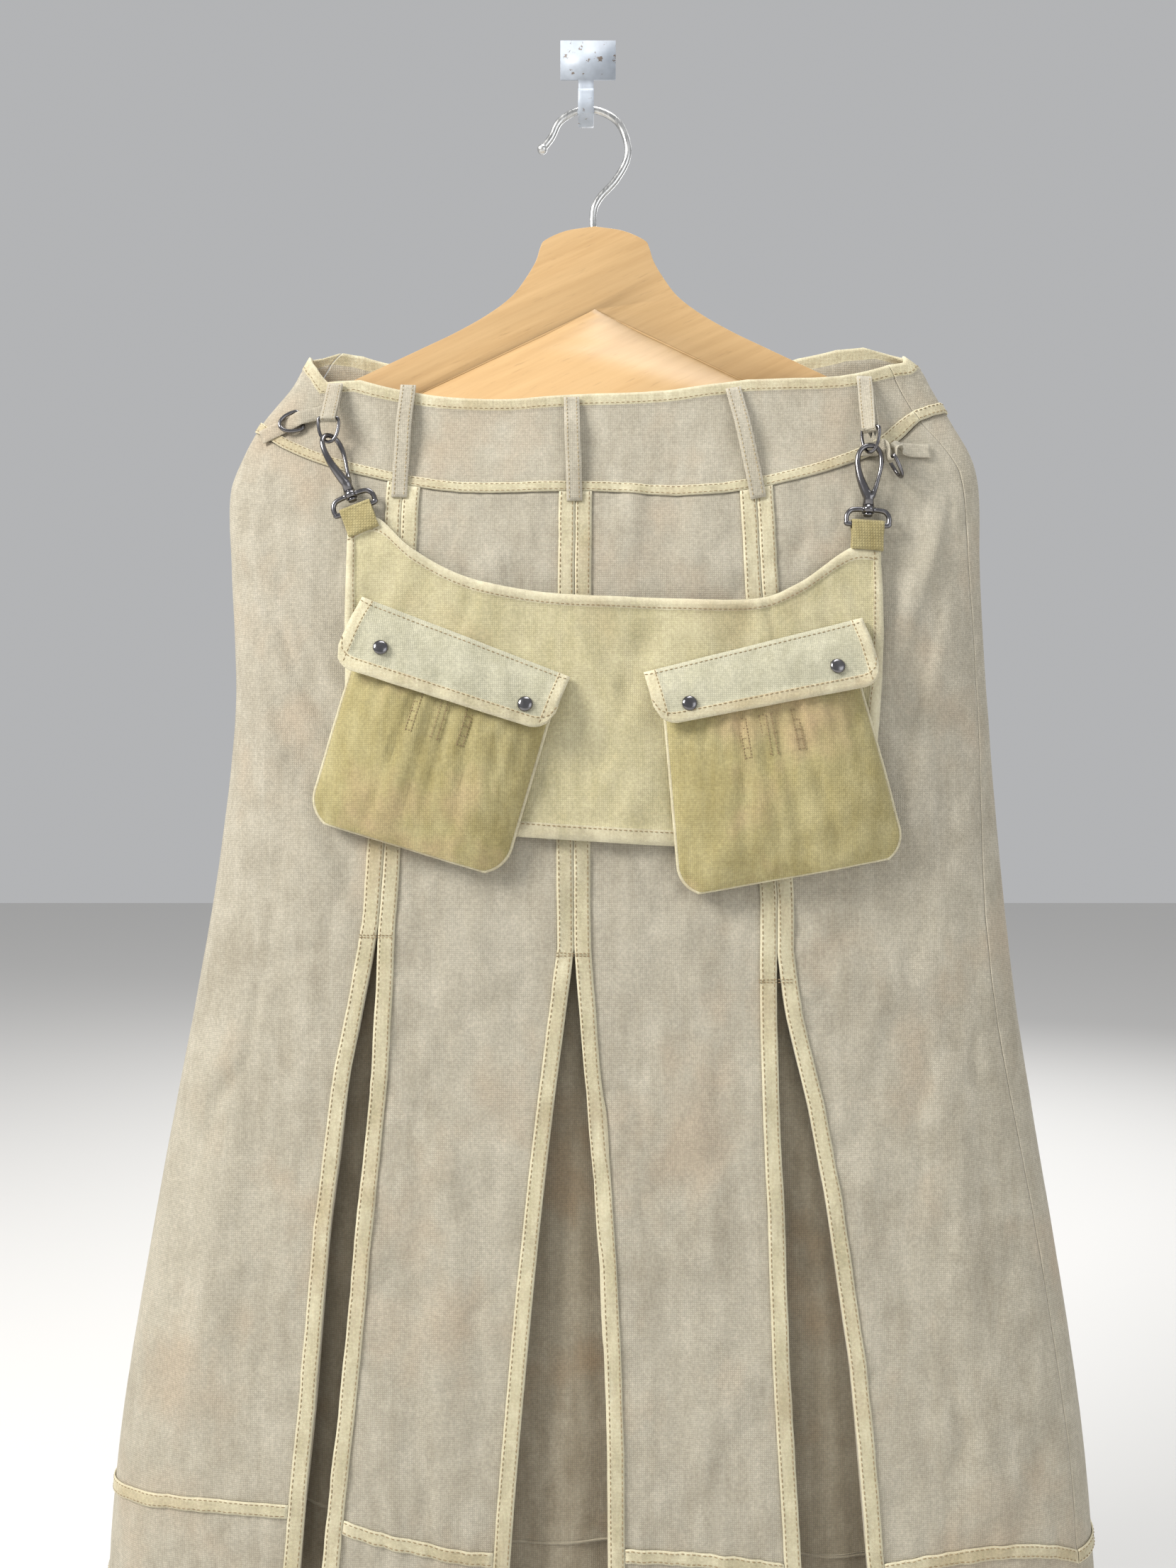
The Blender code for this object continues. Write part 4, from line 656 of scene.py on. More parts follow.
Crease = namedtuple("Crease", "side x0 z0 x1 z1 width height")
CREASES = [
    Crease("front", 0.1836, -0.3700, 0.2134, -0.2760, 0.0034, -0.0016),
    Crease("front", 0.1900, -0.4020, 0.2090, -0.3300, 0.0040, 0.0014),
    Crease("front", 0.1990, -0.4600, 0.1860, -0.5400, 0.0045, -0.0013),
    Crease("front", -0.1960, -0.3120, -0.1560, -0.3560, 0.0040, 0.0016),
    Crease("front", -0.2020, -0.3400, -0.1600, -0.4000, 0.0036, 0.0015),
    Crease("front", -0.1880, -0.4500, -0.1530, -0.5300, 0.0045, -0.0014),
    Crease("front", -0.1760, -0.5600, -0.2050, -0.6300, 0.0050, 0.0013),
    Crease("front", -0.0900, -0.5200, -0.0500, -0.5600, 0.0040, 0.0011),
    Crease("front", -0.0800, -0.5900, -0.0400, -0.5700, 0.0036, -0.0010),
    Crease("front", 0.0300, -0.5300, 0.0800, -0.5500, 0.0040, 0.0011),
    Crease("front", 0.0200, -0.6200, 0.0600, -0.6600, 0.0040, -0.0011),
    Crease("front", 0.1400, -0.5400, 0.2000, -0.5900, 0.0045, 0.0013),
    Crease("front", 0.1600, -0.6700, 0.2200, -0.7300, 0.0050, -0.0012),
    Crease("front", -0.2200, -0.6900, -0.1700, -0.7400, 0.0050, 0.0012),
    Crease("front", -0.1200, -0.7100, -0.0600, -0.7500, 0.0045, -0.0012),
    Crease("front", 0.0300, -0.7500, 0.0900, -0.7900, 0.0045, 0.0012),
    Crease("back", -0.1500, -0.3500, -0.0600, -0.4400, 0.0050, 0.0014),
    Crease("back", 0.0600, -0.3600, 0.1500, -0.4600, 0.0050, 0.0014),
    Crease("back", -0.0800, -0.5600, 0.0100, -0.6200, 0.0050, -0.0013),
]
WAVES = ((22.0, 0.0034), (62.0, 0.0015), (150.0, 0.00050))


def crumple(x, z, side, size=1.0):
    """Small uneven waves, the same for every layer at one place."""
    level = 3.7 if side == "back" else 0.0
    total = 0.0
    for k, (scale, height) in enumerate(WAVES):
        total += height * noise.noise(Vector((x * scale, level + 1.9 * k, z * scale * 0.62)))
    return total * size


def pucker(x, z):
    """Short crosswise puckers where a seam is pulled: under the waist and at each pleat's top."""
    total = 0.0
    for pleat, top in zip(PLEATS, PLEAT_TOPS):
        near = math.exp(-(((x - straight_row(pleat, z).left) / 0.012) ** 2))
        if near < 0.02:
            continue
        for spot, reach in ((top + 0.006, 0.016), (-0.300, 0.016)):
            total += 0.0005 * near * math.sin(z * 900) * math.exp(-(((z - spot) / reach) ** 2))
    return total


def gathers(x, z):
    """Ripples that hang from the waist seam and die out below it, and along the hem seam."""
    under = max(-0.274 - z, 0.0)
    hang = math.exp(-((under / 0.035) ** 2)) if under > 0 else 0.0
    ripple = math.sin(x * 210 + 3 * noise.noise(Vector((x * 14, 0, 2))))
    hem = math.exp(-(((z + 0.874) / 0.014) ** 2))
    return 0.0008 * hang * ripple + 0.0005 * hem * math.sin(x * 430 + 4 * noise.noise(Vector((x * 20, 0, 5))))


def creases(side, x, z):
    total = 0.0
    for fold in CREASES:
        if fold.side != side:
            continue
        dx, dz = fold.x1 - fold.x0, fold.z1 - fold.z0
        length = math.hypot(dx, dz)
        off = ((x - fold.x0) * dz - (z - fold.z0) * dx) / length
        if abs(off) > 4 * fold.width:
            continue
        t = ((x - fold.x0) * dx + (z - fold.z0) * dz) / length**2
        beyond = max(-t, t - 1, 0.0) * length
        total += fold.height * math.exp(-abs(off) / fold.width - (beyond / 0.012) ** 2)
    return total


def fold_depth(side, x, z):
    below = min(max((-0.250 - z) / 0.05, 0.0), 1.0)
    total = crumple(x, z, side, 0.25 + 0.75 * below) + below * creases(side, x, z)
    total += below * gathers(x, z)
    if side == "front":
        total += pucker(x, z)
    for fold in FOLDS:
        if fold.side != side:
            continue
        dx, dz = fold.x1 - fold.x0, fold.z1 - fold.z0
        length = math.hypot(dx, dz)
        t = ((x - fold.x0) * dx + (z - fold.z0) * dz) / length**2
        off = ((x - fold.x0) * dz - (z - fold.z0) * dx) / length
        beyond = max(-t, t - 1, 0.0) * length
        total += fold.height * math.exp(-((off / fold.width) ** 2) - (beyond / 0.02) ** 2)
    return total


def ring_point(z, angle):
    """A point on the outside of the cloth. Angle -90 degrees is the front middle, 0 the right side."""
    ring = row_at(RINGS, z)
    middle, half = (ring.left + ring.right) / 2, (ring.right - ring.left) / 2
    x = middle + half * signed_power(math.cos(angle), 2 / ROUNDNESS)
    reach = signed_power(math.sin(angle), 2 / ROUNDNESS)
    depth = ring.back if reach > 0 else ring.front
    bump = fold_depth("back" if reach > 0 else "front", x, z) * min(abs(reach) * 1.5, 1.0)
    return Vector((x, HANGER_Y + depth * reach + math.copysign(bump, reach), z))


def outward(z, angle):
    step = 0.01
    across = ring_point(z, angle + step) - ring_point(z, angle - step)
    down = ring_point(z - 0.002, angle) - ring_point(z + 0.002, angle)
    return down.cross(across).normalized()


def cloth_point(z, angle, out=0.0):
    return ring_point(z, angle) + outward(z, angle) * out


def front_angle(x, z):
    ring = row_at(RINGS, z)
    middle, half = (ring.left + ring.right) / 2, (ring.right - ring.left) / 2
    share = min(max((x - middle) / half, -1.0), 1.0)
    return -math.acos(signed_power(share, ROUNDNESS / 2))


def back_angle(x, z):
    return -front_angle(x, z)


def front_point(x, z, out=0.0):
    return cloth_point(z, front_angle(x, z), out)


def ring_x(z, angle):
    ring = row_at(RINGS, z)
    middle, half = (ring.left + ring.right) / 2, (ring.right - ring.left) / 2
    return middle + half * signed_power(math.cos(angle), 2 / ROUNDNESS)


def angle_step(z, angle, length):
    """The angle that covers a length along the ring."""
    small = 0.002
    span = (ring_point(z, angle + small) - ring_point(z, angle - small)).length
    return length / (span / (2 * small))


def seam_angle(side, z):
    """The right side seam shows at the front, and the left one lies as far behind the left edge."""
    ring = row_at(RINGS, z)
    half = (ring.right - ring.left) / 2
    inset = getattr(row_at(SIDE_SEAMS, z), side)
    turn = math.acos((1 - inset / half) ** (ROUNDNESS / 2))
    return -turn if side == "right" else -math.pi - turn


def edge_height(table, z, angle):
    """Height at which a line given by its x and z crosses the column at angle."""
    for _ in range(6):
        z = row_at(table, ring_x(z, angle)).z
    return z


def waist_top(angle):
    return edge_height(WAIST_FRONT if math.sin(angle) < 0 else WAIST_BACK, -0.21, angle)


def waist_seam(angle):
    return edge_height(SEAM_FRONT if math.sin(angle) < 0 else SEAM_BACK, -0.27, angle)


# Making objects


def add_object(name, mesh, material, collection=None):
    made = bpy.data.objects.new(name + "_piece", mesh)
    (collection or PARTS).objects.link(made)
    mesh.materials.append(material)
    return made


def solidify(made, thickness):
    wall = made.modifiers.new("wall", "SOLIDIFY")
    wall.thickness = thickness
    wall.offset = -1
    wall.use_even_offset = False
    wall.thickness_clamp = 0
    return made


FINE_STEP = 0.0030
SURFACES = {}
Surface = namedtuple("Surface", "rows row_places column_places")


def shares_between(spans, step):
    """Places along a table of spans, each span cut into equal steps no longer than step."""
    places = []
    for i, span in enumerate(spans):
        count = max(1, math.ceil(span / step))
        places += [i + k / count for k in range(count)]
    return places + [float(len(spans))]


def lerp_rows(a, b, u):
    return [tuple(p + (q - p) * u for p, q in zip(one, two)) for one, two in zip(a, b)]


def refined(spots, place_of, step):
    """A grid of spots cut finer in straight steps, with where each row and column lies in the old one."""
    points = [[place_of(*spot) for spot in row] for row in spots]
    rows, columns = len(spots), len(spots[0])
    downs = [max((points[i + 1][j] - points[i][j]).length for j in range(columns)) for i in range(rows - 1)]
    acrosses = [max((points[i][j + 1] - points[i][j]).length for i in range(rows))
                for j in range(columns - 1)]
    row_places, column_places = shares_between(downs, step), shares_between(acrosses, step)
    fine = []
    for v in row_places:
        i = min(int(v), rows - 2)
        between = lerp_rows(spots[i], spots[i + 1], v - i)
        row = []
        for u in column_places:
            j = min(int(u), columns - 2)
            row.append(tuple(p + (q - p) * (u - j) for p, q in zip(between[j], between[j + 1])))
        fine.append(row)
    return fine, row_places, column_places


def sheet(name, grid, thickness, material, bound=None, places=None):
    """A cloth wall from a grid of outside points; bound tells which places are cream binding."""
    mesh = bpy.data.meshes.new(name + "_mesh")
    columns = len(grid[0])
    points = [p for row in grid for p in row]
    faces = []
    for i in range(len(grid) - 1):
        for j in range(columns - 1):
            a = i * columns + j
            faces.append((a, a + columns, a + columns + 1, a + 1))
    mesh.from_pydata(points, [], faces)
    mesh.shade_smooth()
    made = add_object(name, mesh, material)
    row_places, column_places = places or (list(range(len(grid))), list(range(columns)))
    if bound:
        mesh.materials.append(CREAM)
        for i in range(len(grid) - 1):
            for j in range(columns - 1):
                v = (row_places[i] + row_places[i + 1]) / 2
                u = (column_places[j] + column_places[j + 1]) / 2
                mesh.polygons[i * (columns - 1) + j].material_index = int(bound(v, u))
    SURFACES[name] = Surface(grid, row_places, column_places)
    return solidify(made, thickness)


def skirt_sheet(name, spots, thickness, material, bound=None):
    """A sheet from a coarse grid of (z, angle, out), every fine point worked out on the skirt."""
    fine, row_places, column_places = refined(spots, cloth_point, FINE_STEP)
    grid = [[cloth_point(*spot) for spot in row] for row in fine]
    return sheet(name, grid, thickness, material, bound, (row_places, column_places))


def with_out(grid, out=0.0):
    return [[(z, a, out) for z, a in row] for row in grid]


def loft(name, sections, material):
    """A closed solid through sections with the same number of points each."""
    mesh = bpy.data.meshes.new(name)
    shape = bmesh.new()
    rings = [[shape.verts.new(p) for p in section] for section in sections]
    sides = len(rings[0])
    for low, high in zip(rings, rings[1:]):
        for k in range(sides):
            n = (k + 1) % sides
            shape.faces.new((low[k], low[n], high[n], high[k]))
    shape.faces.new(rings[0][::-1])
    shape.faces.new(rings[-1])
    bmesh.ops.recalc_face_normals(shape, faces=shape.faces)
    shape.to_mesh(mesh)
    shape.free()
    mesh.shade_smooth()
    return add_object(name, mesh, material)


STRIPS = {}


def strip(name, path, widths, width, thickness, material):
    """A flat strap along path; widths gives the direction across it at each point."""
    count = 4 * (len(path) - 1)
    widths = [along(widths, k / count).normalized() for k in range(count + 1)]
    path = [along(path, k / count) for k in range(count + 1)]
    sections = []
    lines = []
    for i, p in enumerate(path):
        way = (path[min(i + 1, len(path) - 1)] - path[max(i - 1, 0)]).normalized()
        across = (widths[i] - way * widths[i].dot(way)).normalized() * (width / 2)
        through = way.cross(across).normalized() * (thickness / 2)
        section = []
        for side in (1, -1):
            shares = (1.0, 0.94, 0.5, 0.0, -0.5, -0.94, -1.0)
            for share in shares if side > 0 else reversed(shares):
                edge = 0.45 if abs(share) == 1 else 1.0
                section.append(p + across * share + through * side * edge)
        sections.append(section)
        lines.append((p, across, through))
    STRIPS[name] = lines
    return loft(name, sections, material)


WIRE_CUTS = 4


def wire(name, points, radius, material, closed=False, sides=2, radii=None):
    """A round wire along points, smoothed between them."""
    ends = [points[-1]] + list(points) + [points[0], points[1]] if closed else list(points)
    sizes = list(radii) if radii else [1.0] * len(points)
    size_ends = [sizes[-1]] + sizes + [sizes[0], sizes[1]] if closed else sizes
    skip = 1 if closed else 0
    spans = len(ends) - 1
    fine = range(skip * WIRE_CUTS, (spans - skip) * WIRE_CUTS + (0 if closed else 1))
    size_ends = [(size, 0.0) for size in size_ends]
    radii = [along(size_ends, k / (spans * WIRE_CUTS)).x for k in fine]
    points = [along(ends, k / (spans * WIRE_CUTS)) for k in fine]
    curve = bpy.data.curves.new(name, "CURVE")
    curve.dimensions = "3D"
    curve.bevel_depth = radius
    curve.bevel_resolution = 3
    curve.use_fill_caps = not closed
    spline = curve.splines.new("POLY")
    spline.points.add(len(points) - 1)
    for i, p in enumerate(points):
        spline.points[i].co = (*p, 1)
        if radii:
            spline.points[i].radius = radii[i]
    spline.use_cyclic_u = closed
    made = bpy.data.objects.new(name + "_piece", curve)
    PARTS.objects.link(made)
    curve.materials.append(material)
    return made


def as_mesh(made):
    """The object with its curve turned into a mesh, caps welded."""
    bpy.context.view_layer.update()
    name, material = made.name.removesuffix("_piece"), made.data.materials[0]
    graph = bpy.context.evaluated_depsgraph_get()
    mesh = bpy.data.meshes.new_from_object(made.evaluated_get(graph))
    place = made.matrix_world.copy()
    bpy.data.objects.remove(made, do_unlink=True)
    shape = bmesh.new()
    shape.from_mesh(mesh)
    bmesh.ops.remove_doubles(shape, verts=shape.verts, dist=1e-6)
    bmesh.ops.recalc_face_normals(shape, faces=shape.faces)
    shape.to_mesh(mesh)
    shape.free()
    mesh.materials.clear()
    solid = add_object(name, mesh, material)
    solid.matrix_world = place
    return solid


def cone(name, low, high, radius_low, radius_high, material, sides=32):
    """A round bar between two points, as a mesh in the cutters' collection."""
    mesh = bpy.data.meshes.new(name)
    shape = bmesh.new()
    bmesh.ops.create_cone(
        shape,
        cap_ends=True,
        segments=sides,
        radius1=radius_low,
        radius2=radius_high,
        depth=(high - low).length,
    )
    shape.to_mesh(mesh)
    shape.free()
    made = add_object(name, mesh, material, CUTTERS)
    turn = (high - low).to_track_quat("Z", "Y").to_matrix().to_4x4()
    made.matrix_world = Matrix.Translation((low + high) / 2) @ turn
    made.hide_render = True
    made.display_type = "WIRE"
    return made


def combine(made, other, operation):
    merge = made.modifiers.new(operation.lower(), "BOOLEAN")
    merge.operation = operation
    merge.object = other
    merge.use_self = True
    return made


# Skirt


def front_edges(panel, z):
    """Left and right angle of a front panel at height z."""
    if panel == 0:
        left = seam_angle("left", z)
        left += angle_step(z, left, SIDE_SEAM_GAP / 2)
    else:
        left = front_angle(straight_row(PLEATS[panel - 1], z).right + GAP / 2, z)
    if panel == 3:
        right = seam_angle("right", z)
        right -= angle_step(z, right, SIDE_SEAM_GAP / 2)
    else:
        right = front_angle(straight_row(PLEATS[panel], z).left - GAP / 2, z)
    return left, right


# Shares of a side panel's width from its side seam, and of a middle panel's between its bands
SIDE_SHARES = [0.10, 0.20, 0.31, 0.43, 0.56, 0.70, 0.85]
MIDDLE_SHARES = [0.2, 0.4, 0.6, 0.8]


def panel_angles(panel, z):
    """Column angles: narrow columns at the seams, or the pleat bands' widths, and shares between."""
    left, right = front_edges(panel, z)
    if panel > 0:
        low = front_angle(cloth_point(z, left).x + PLEAT_BAND_WIDTH, z)
    else:
        low = left + angle_step(z, left, EDGE_STEP)
    if panel < 3:
        high = front_angle(cloth_point(z, right).x - PLEAT_BAND_WIDTH, z)
    else:
        high = right - angle_step(z, right, EDGE_STEP)
    shares = MIDDLE_SHARES
    if panel == 0:
        shares = SIDE_SHARES
    if panel == 3:
        shares = [1 - share for share in reversed(SIDE_SHARES)]
    between = [low + (high - low) * share for share in shares]
    return [left, low] + between + [high, right]


PANEL_ROWS = [0.0, 0.045, 0.11, 0.20, 0.30, 0.39, 0.44, 0.50, 0.58, 0.66, 0.74, 0.82, 0.91]


def tier_height(tier, angle_at, j, last):
    """The tier seam's height at column j, by its share of the panel's turn."""
    low = -0.87
    start, end = angle_at(low, 0), angle_at(low, last)
    return through_three(tier, (angle_at(low, j) - start) / (end - start))


def seam_spots(angle_at, columns):
    """(z, angle) at which each column crosses the waist seam."""
    spots = []
    for j in range(columns):
        z = waist_seam(angle_at(-0.26, j))
        spots.append((z, angle_at(z, j)))
    return spots


def column_grid(angle_at, columns, tier, rows):
    """Grid of (z, angle) for a panel: rows' shares from the waist seam to the tier tape, then the tape."""
    grid_columns = []
    for j, (seam, _) in enumerate(seam_spots(angle_at, columns)):
        top = seam - GAP / 2
        foot = tier_height(tier, angle_at, j, columns - 1)
        band_top = foot + TIER_BAND_HALF
        levels = [top + (band_top - top) * g for g in rows] + [band_top, foot + GAP / 2]
        grid_columns.append([(z, angle_at(z, j)) for z in levels])
    return [list(row) for row in zip(*grid_columns)]


def panel_functions(panel):
    """A front panel's column angles, number of columns and tier seam."""

    def angle_at(z, j):
        return panel_angles(panel, z)[j]

    return angle_at, len(panel_angles(panel, -0.4)), TIERS[panel]


def front_panels():
    """Four front panels, each with its bands' lines in the grid, as (z, angle) grids."""
    grids = []
    for panel in range(4):
        grids.append(column_grid(*panel_functions(panel), PANEL_ROWS))
        skirt_sheet(f"front_panel_{panel + 1}", with_out(grids[-1]), CLOTH, TAUPE)
    return grids


def hem_levels(tier):
    hem = tier - HEM_TIER_DROP
    return [tier - GAP / 2, tier - TIER_BAND_HALF, hem + HEM_BINDING + 0.001, hem + HEM_BINDING, hem]


def hem_grid(angle_at, columns, tier):
    grid_columns = []
    for j in range(columns):
        foot = tier_height(tier, angle_at, j, columns - 1)
        grid_columns.append([(z, angle_at(z, j)) for z in hem_levels(foot)])
    return [list(row) for row in zip(*grid_columns)]


def raised_grid(grid, raised_rows):
    """Spots of a hem grid, its binding rows a little proud."""
    return [
        [(z, a, BINDING_RAISE if i in raised_rows else 0.0) for z, a in row]
        for i, row in enumerate(grid)
    ]


def hem_bound(v, _):
    return v > 2.5


def hem_tiers():
    grids = []
    for panel in range(4):
        grids.append(hem_grid(*panel_functions(panel)))
        skirt_sheet(f"front_hem_{panel + 1}", raised_grid(grids[-1], (3, 4)), CLOTH, TAUPE, hem_bound)
    return grids


BACK_SHARES = [0.05, 0.11, 0.17, 0.24, 0.32, 0.40, 0.48, 0.56, 0.64, 0.72, 0.80, 0.87, 0.94]
BACK_COLUMNS = len(BACK_SHARES) + 4


def back_ends(z):
    """Angles of the back pieces' two edges: at the right side seam, and at the left one."""
    start, end = seam_angle("right", z), seam_angle("left", z) + 2 * math.pi
    start += angle_step(z, start, SIDE_SEAM_GAP / 2)
    end -= angle_step(z, end, SIDE_SEAM_GAP / 2)
    return start, end


def back_angle_at(z, j):
    start, end = back_ends(z)
    low = start + angle_step(z, start, EDGE_STEP)
    high = end - angle_step(z, end, EDGE_STEP)
    between = [low + (high - low) * share for share in BACK_SHARES]
    return ([start, low] + between + [high, end])[j]


def back_pieces():
    grid = column_grid(back_angle_at, BACK_COLUMNS, BACK_TIER, PANEL_ROWS)
    skirt_sheet("back_panel", with_out(grid), CLOTH, TAUPE)
    hem = hem_grid(back_angle_at, BACK_COLUMNS, BACK_TIER)
    skirt_sheet("back_hem", raised_grid(hem, (3, 4)), CLOTH, TAUPE, hem_bound)
    return grid, hem


def pleat_bands(panels, hems):
    """The cream tape down each side of each pleat, from the waist seam to the hem."""
    out = SEAT + BAND_CLOTH
    for pleat in range(3):
        sides = (
            ("left", pleat, (-2, -1)),
            ("right", pleat + 1, (0, 1)),
        )
        for side, panel, pair in sides:
            rows = []
            for row in panels[panel][:-1]:
                rows.append([(*row[k], out) for k in pair])
            for i, row in enumerate(hems[panel][1:]):
                raise_by = BINDING_RAISE if i > 1 else 0.0
                rows.append([(*row[k], out + raise_by) for k in pair])
            skirt_sheet(f"pleat_band_{pleat + 1}_{side}", rows, BAND_CLOTH, CREAM)


def tier_band(name, upper, lower, first, last):
    """The cream tape over a tier seam, from column first to column last."""
    out = SEAT + BAND_CLOTH
    rows = [[(*row[k], out) for k in range(first, last + 1)] for row in (upper[-2], upper[-1], lower[1])]
    for row in rows:
        for end, turn in ((0, 1), (-1, -1)):
            z, angle, _ = row[end]
            row[end] = (z, angle + turn * angle_step(z, angle, GAP), out)
    skirt_sheet(name, rows, BAND_CLOTH, CREAM)


def tier_bands(panels, hems, back, back_hem):
    for panel in range(4):
        first = 0 if panel == 0 else 1
        last = len(panels[panel][0]) - (1 if panel == 3 else 2)
        tier_band(f"tier_band_{panel + 1}", panels[panel], hems[panel], first, last)
    tier_band("tier_band_back", back, back_hem, 0, BACK_COLUMNS - 1)


def waist_levels(seam, angle):
    top = waist_top(angle)
    return [
        top,
        top - WAIST_BINDING,
        top - WAIST_BINDING - 0.001,
        (top + seam) / 2,
        seam + WAIST_BAND_WIDTH,
        seam + GAP / 2,
    ]


def waist_ends(side, z):
    return (front_edges(0, z)[0], front_edges(3, z)[1]) if side == "front" else back_ends(z)


def waist_spots(side):
    """(z, angle) of the waistband's columns at the seam, the same as those of the panels below."""
    if side == "back":
        return seam_spots(back_angle_at, BACK_COLUMNS)
    spots = []
    for panel in range(4):
        angle_at, columns, _ = panel_functions(panel)
        found = seam_spots(angle_at, columns)
        spots += found if panel == 0 else found[1:]
    return spots


def waistband(side):
    """One waistband, its bound top edge proud, and the cream tape along its lower edge."""
    columns = []
    for seam, angle in waist_spots(side):
        start, end = waist_ends(side, seam)
        share = (angle - start) / (end - start)
        places = []
        for z in waist_levels(seam, angle):
            start, end = waist_ends(side, z)
            places.append((z, start + (end - start) * share))
        columns.append(places)
    rows = [list(row) for row in zip(*columns)]
    points = []
    for i, row in enumerate(rows):
        raise_by = BINDING_RAISE if i < 2 else 0.0
        points.append([(*place, raise_by) for place in row])
    tape = with_out(rows[4:], SEAT + BAND_CLOTH)
    skirt_sheet(f"waistband_{side}", points, WAISTBAND_CLOTH, TAUPE, lambda v, _: v < 1)
    skirt_sheet(f"waist_tape_{side}", tape, BAND_CLOTH, CREAM)


INSERT_CLOTH = 0.0010
INSERT_BEHIND = CLOTH + 0.0004 + INSERT_CLOTH
INSERT_TOP_RISE = 0.010


def smooth_grid(rows, down, across):
    """A grid of points cut finer along smooth curves."""
    count = (len(rows[0]) - 1) * across
    wide = [[along(row, k / count) for k in range(count + 1)] for row in rows]
    columns = list(zip(*wide))
    steps = (len(rows) - 1) * down
    tall = [[along(column, k / steps) for k in range(steps + 1)] for column in columns]
    return [list(row) for row in zip(*tall)]


def insert_section(left, right, depth, ripple):
    """Across one insert: a return behind each panel's edge, and the floor between, set back by depth.

    left and right are each panel's edge point and the point under its band's inner line.
    """
    turn = depth / 2
    path = [left[0], left[1]]
    path.append(left[1] + Vector((-turn, turn, 0)))
    path.append(left[1] + BACK * depth)
    span = right[1] - left[1]
    for k in range(1, 6):
        t = k / 6
        wave = ripple * depth * math.sin(2.2 * math.pi * t + 1)
        path.append(left[1] + span * t + BACK * (depth + wave))
    path.append(right[1] + BACK * depth)
    path.append(right[1] + Vector((turn, turn, 0)))
    path += [right[1], right[0]]
    return path


def edge_points(panel_grid, hem_grid_rows, columns, top):
    """Points behind a panel's edge and band line from height top down to the hem."""
    rows = panel_grid + hem_grid_rows[1:]
    spots = [[cloth_point(*row[k], -INSERT_BEHIND) for k in columns] for row in rows]
    i = next(k for k, row in enumerate(rows) if row[columns[0]][0] < top)
    above, below = rows[i - 1][columns[0]][0], rows[i][columns[0]][0]
    share = (above - top) / (above - below)
    first = [a.lerp(b, share) for a, b in zip(spots[i - 1], spots[i])]
    return [first] + spots[i:-1] + [[a.lerp(b, 0.7) for a, b in zip(spots[-2], spots[-1])]]


def pleat_inserts(panels, hems):
    for pleat in range(3):
        top = PLEAT_TOPS[pleat] + INSERT_TOP_RISE
        left = edge_points(panels[pleat], hems[pleat], (-1, -2), top)
        right = edge_points(panels[pleat + 1], hems[pleat + 1], (0, 1), top)
        rows = []
        for i, (a, b) in enumerate(zip(left, right)):
            share = i / (len(left) - 1)
            rows.append(insert_section(a, b, 0.0032 + 0.0140 * share**0.7, 0.14))
        # The inserts take the taupe cloth painted darker as shade.
        sheet(f"pleat_insert_{pleat + 1}", smooth_grid(rows, 5, 3), INSERT_CLOTH, PAINTED_SHADE_TAUPE)


# Belt loops, straps and tabs


def belt_loop(name, angle_of, top_x, bottom_x, low):
    """A strap from the waistband's top edge to just below the waist seam, standing off between."""
    path = []
    stand_off = [0.0011, 0.0030, 0.0046, 0.0050, 0.0044, 0.0034, 0.0024, 0.0015]
    for k, out in enumerate(stand_off):
        t = k / (len(stand_off) - 1)
        x = top_x + (bottom_x - top_x) * t
        high = waist_top(angle_of(x, -0.22)) + 0.0004
        z = high + (low - high) * t
        path.append(cloth_point(z, angle_of(x, z), out + LOOP_CLOTH / 2 - 0.0002))
    widths = []
    for p in path:
        z = p.z
        angle = angle_of(p.x, z)
        widths.append(cloth_point(z, angle + 0.05) - cloth_point(z, angle - 0.05))
    strip(name, path, widths, 0.0092, LOOP_CLOTH, TAUPE)


def belt_loops():
    front = ((-0.1058, -0.1092, -0.2835), (-0.0097, -0.0078, -0.2860), (0.0854, 0.0985, -0.2840))
    for k, (top_x, bottom_x, low) in enumerate(front):
        belt_loop(f"belt_loop_front_{k + 1}", front_angle, top_x, bottom_x, low)
    back = ((-0.098, -0.108, -0.2740), (0.008, 0.008, -0.2760), (0.114, 0.126, -0.2740))
    for k, (top_x, bottom_x, low) in enumerate(back):
        belt_loop(f"belt_loop_back_{k + 1}", back_angle, top_x, bottom_x, low)


def turned(degrees, vector=RIGHT):
    """vector turned about the vertical."""
    return Matrix.Rotation(math.radians(degrees), 3, "Z") @ vector


def chain_way(chain):
    """Direction up the clip chain in front view, before it follows the apron's slope."""
    lean = math.radians(chain.lean)
    return Vector((math.sin(lean), 0, math.cos(lean)))


def chain_frame(chain):
    """Bar of the swivel ring, top of the hook, and bar of the hanging ring above it."""
    bar = apron_point(chain.bar_x, chain.bar_z, -CLOTH / 2)
    hook = BOSS_TO_BAR + HOOK_LENGTH
    way = chain_way(chain)
    rough = bar + way * hook
    back = front_point(chain.strap_x, rough.z, chain.ring_out).y - bar.y
    slope = math.asin(back / hook)
    top = bar + way * hook * math.cos(slope) + BACK * back
    return bar, top, top + UP * (RING_DROP - RING_HOLD)


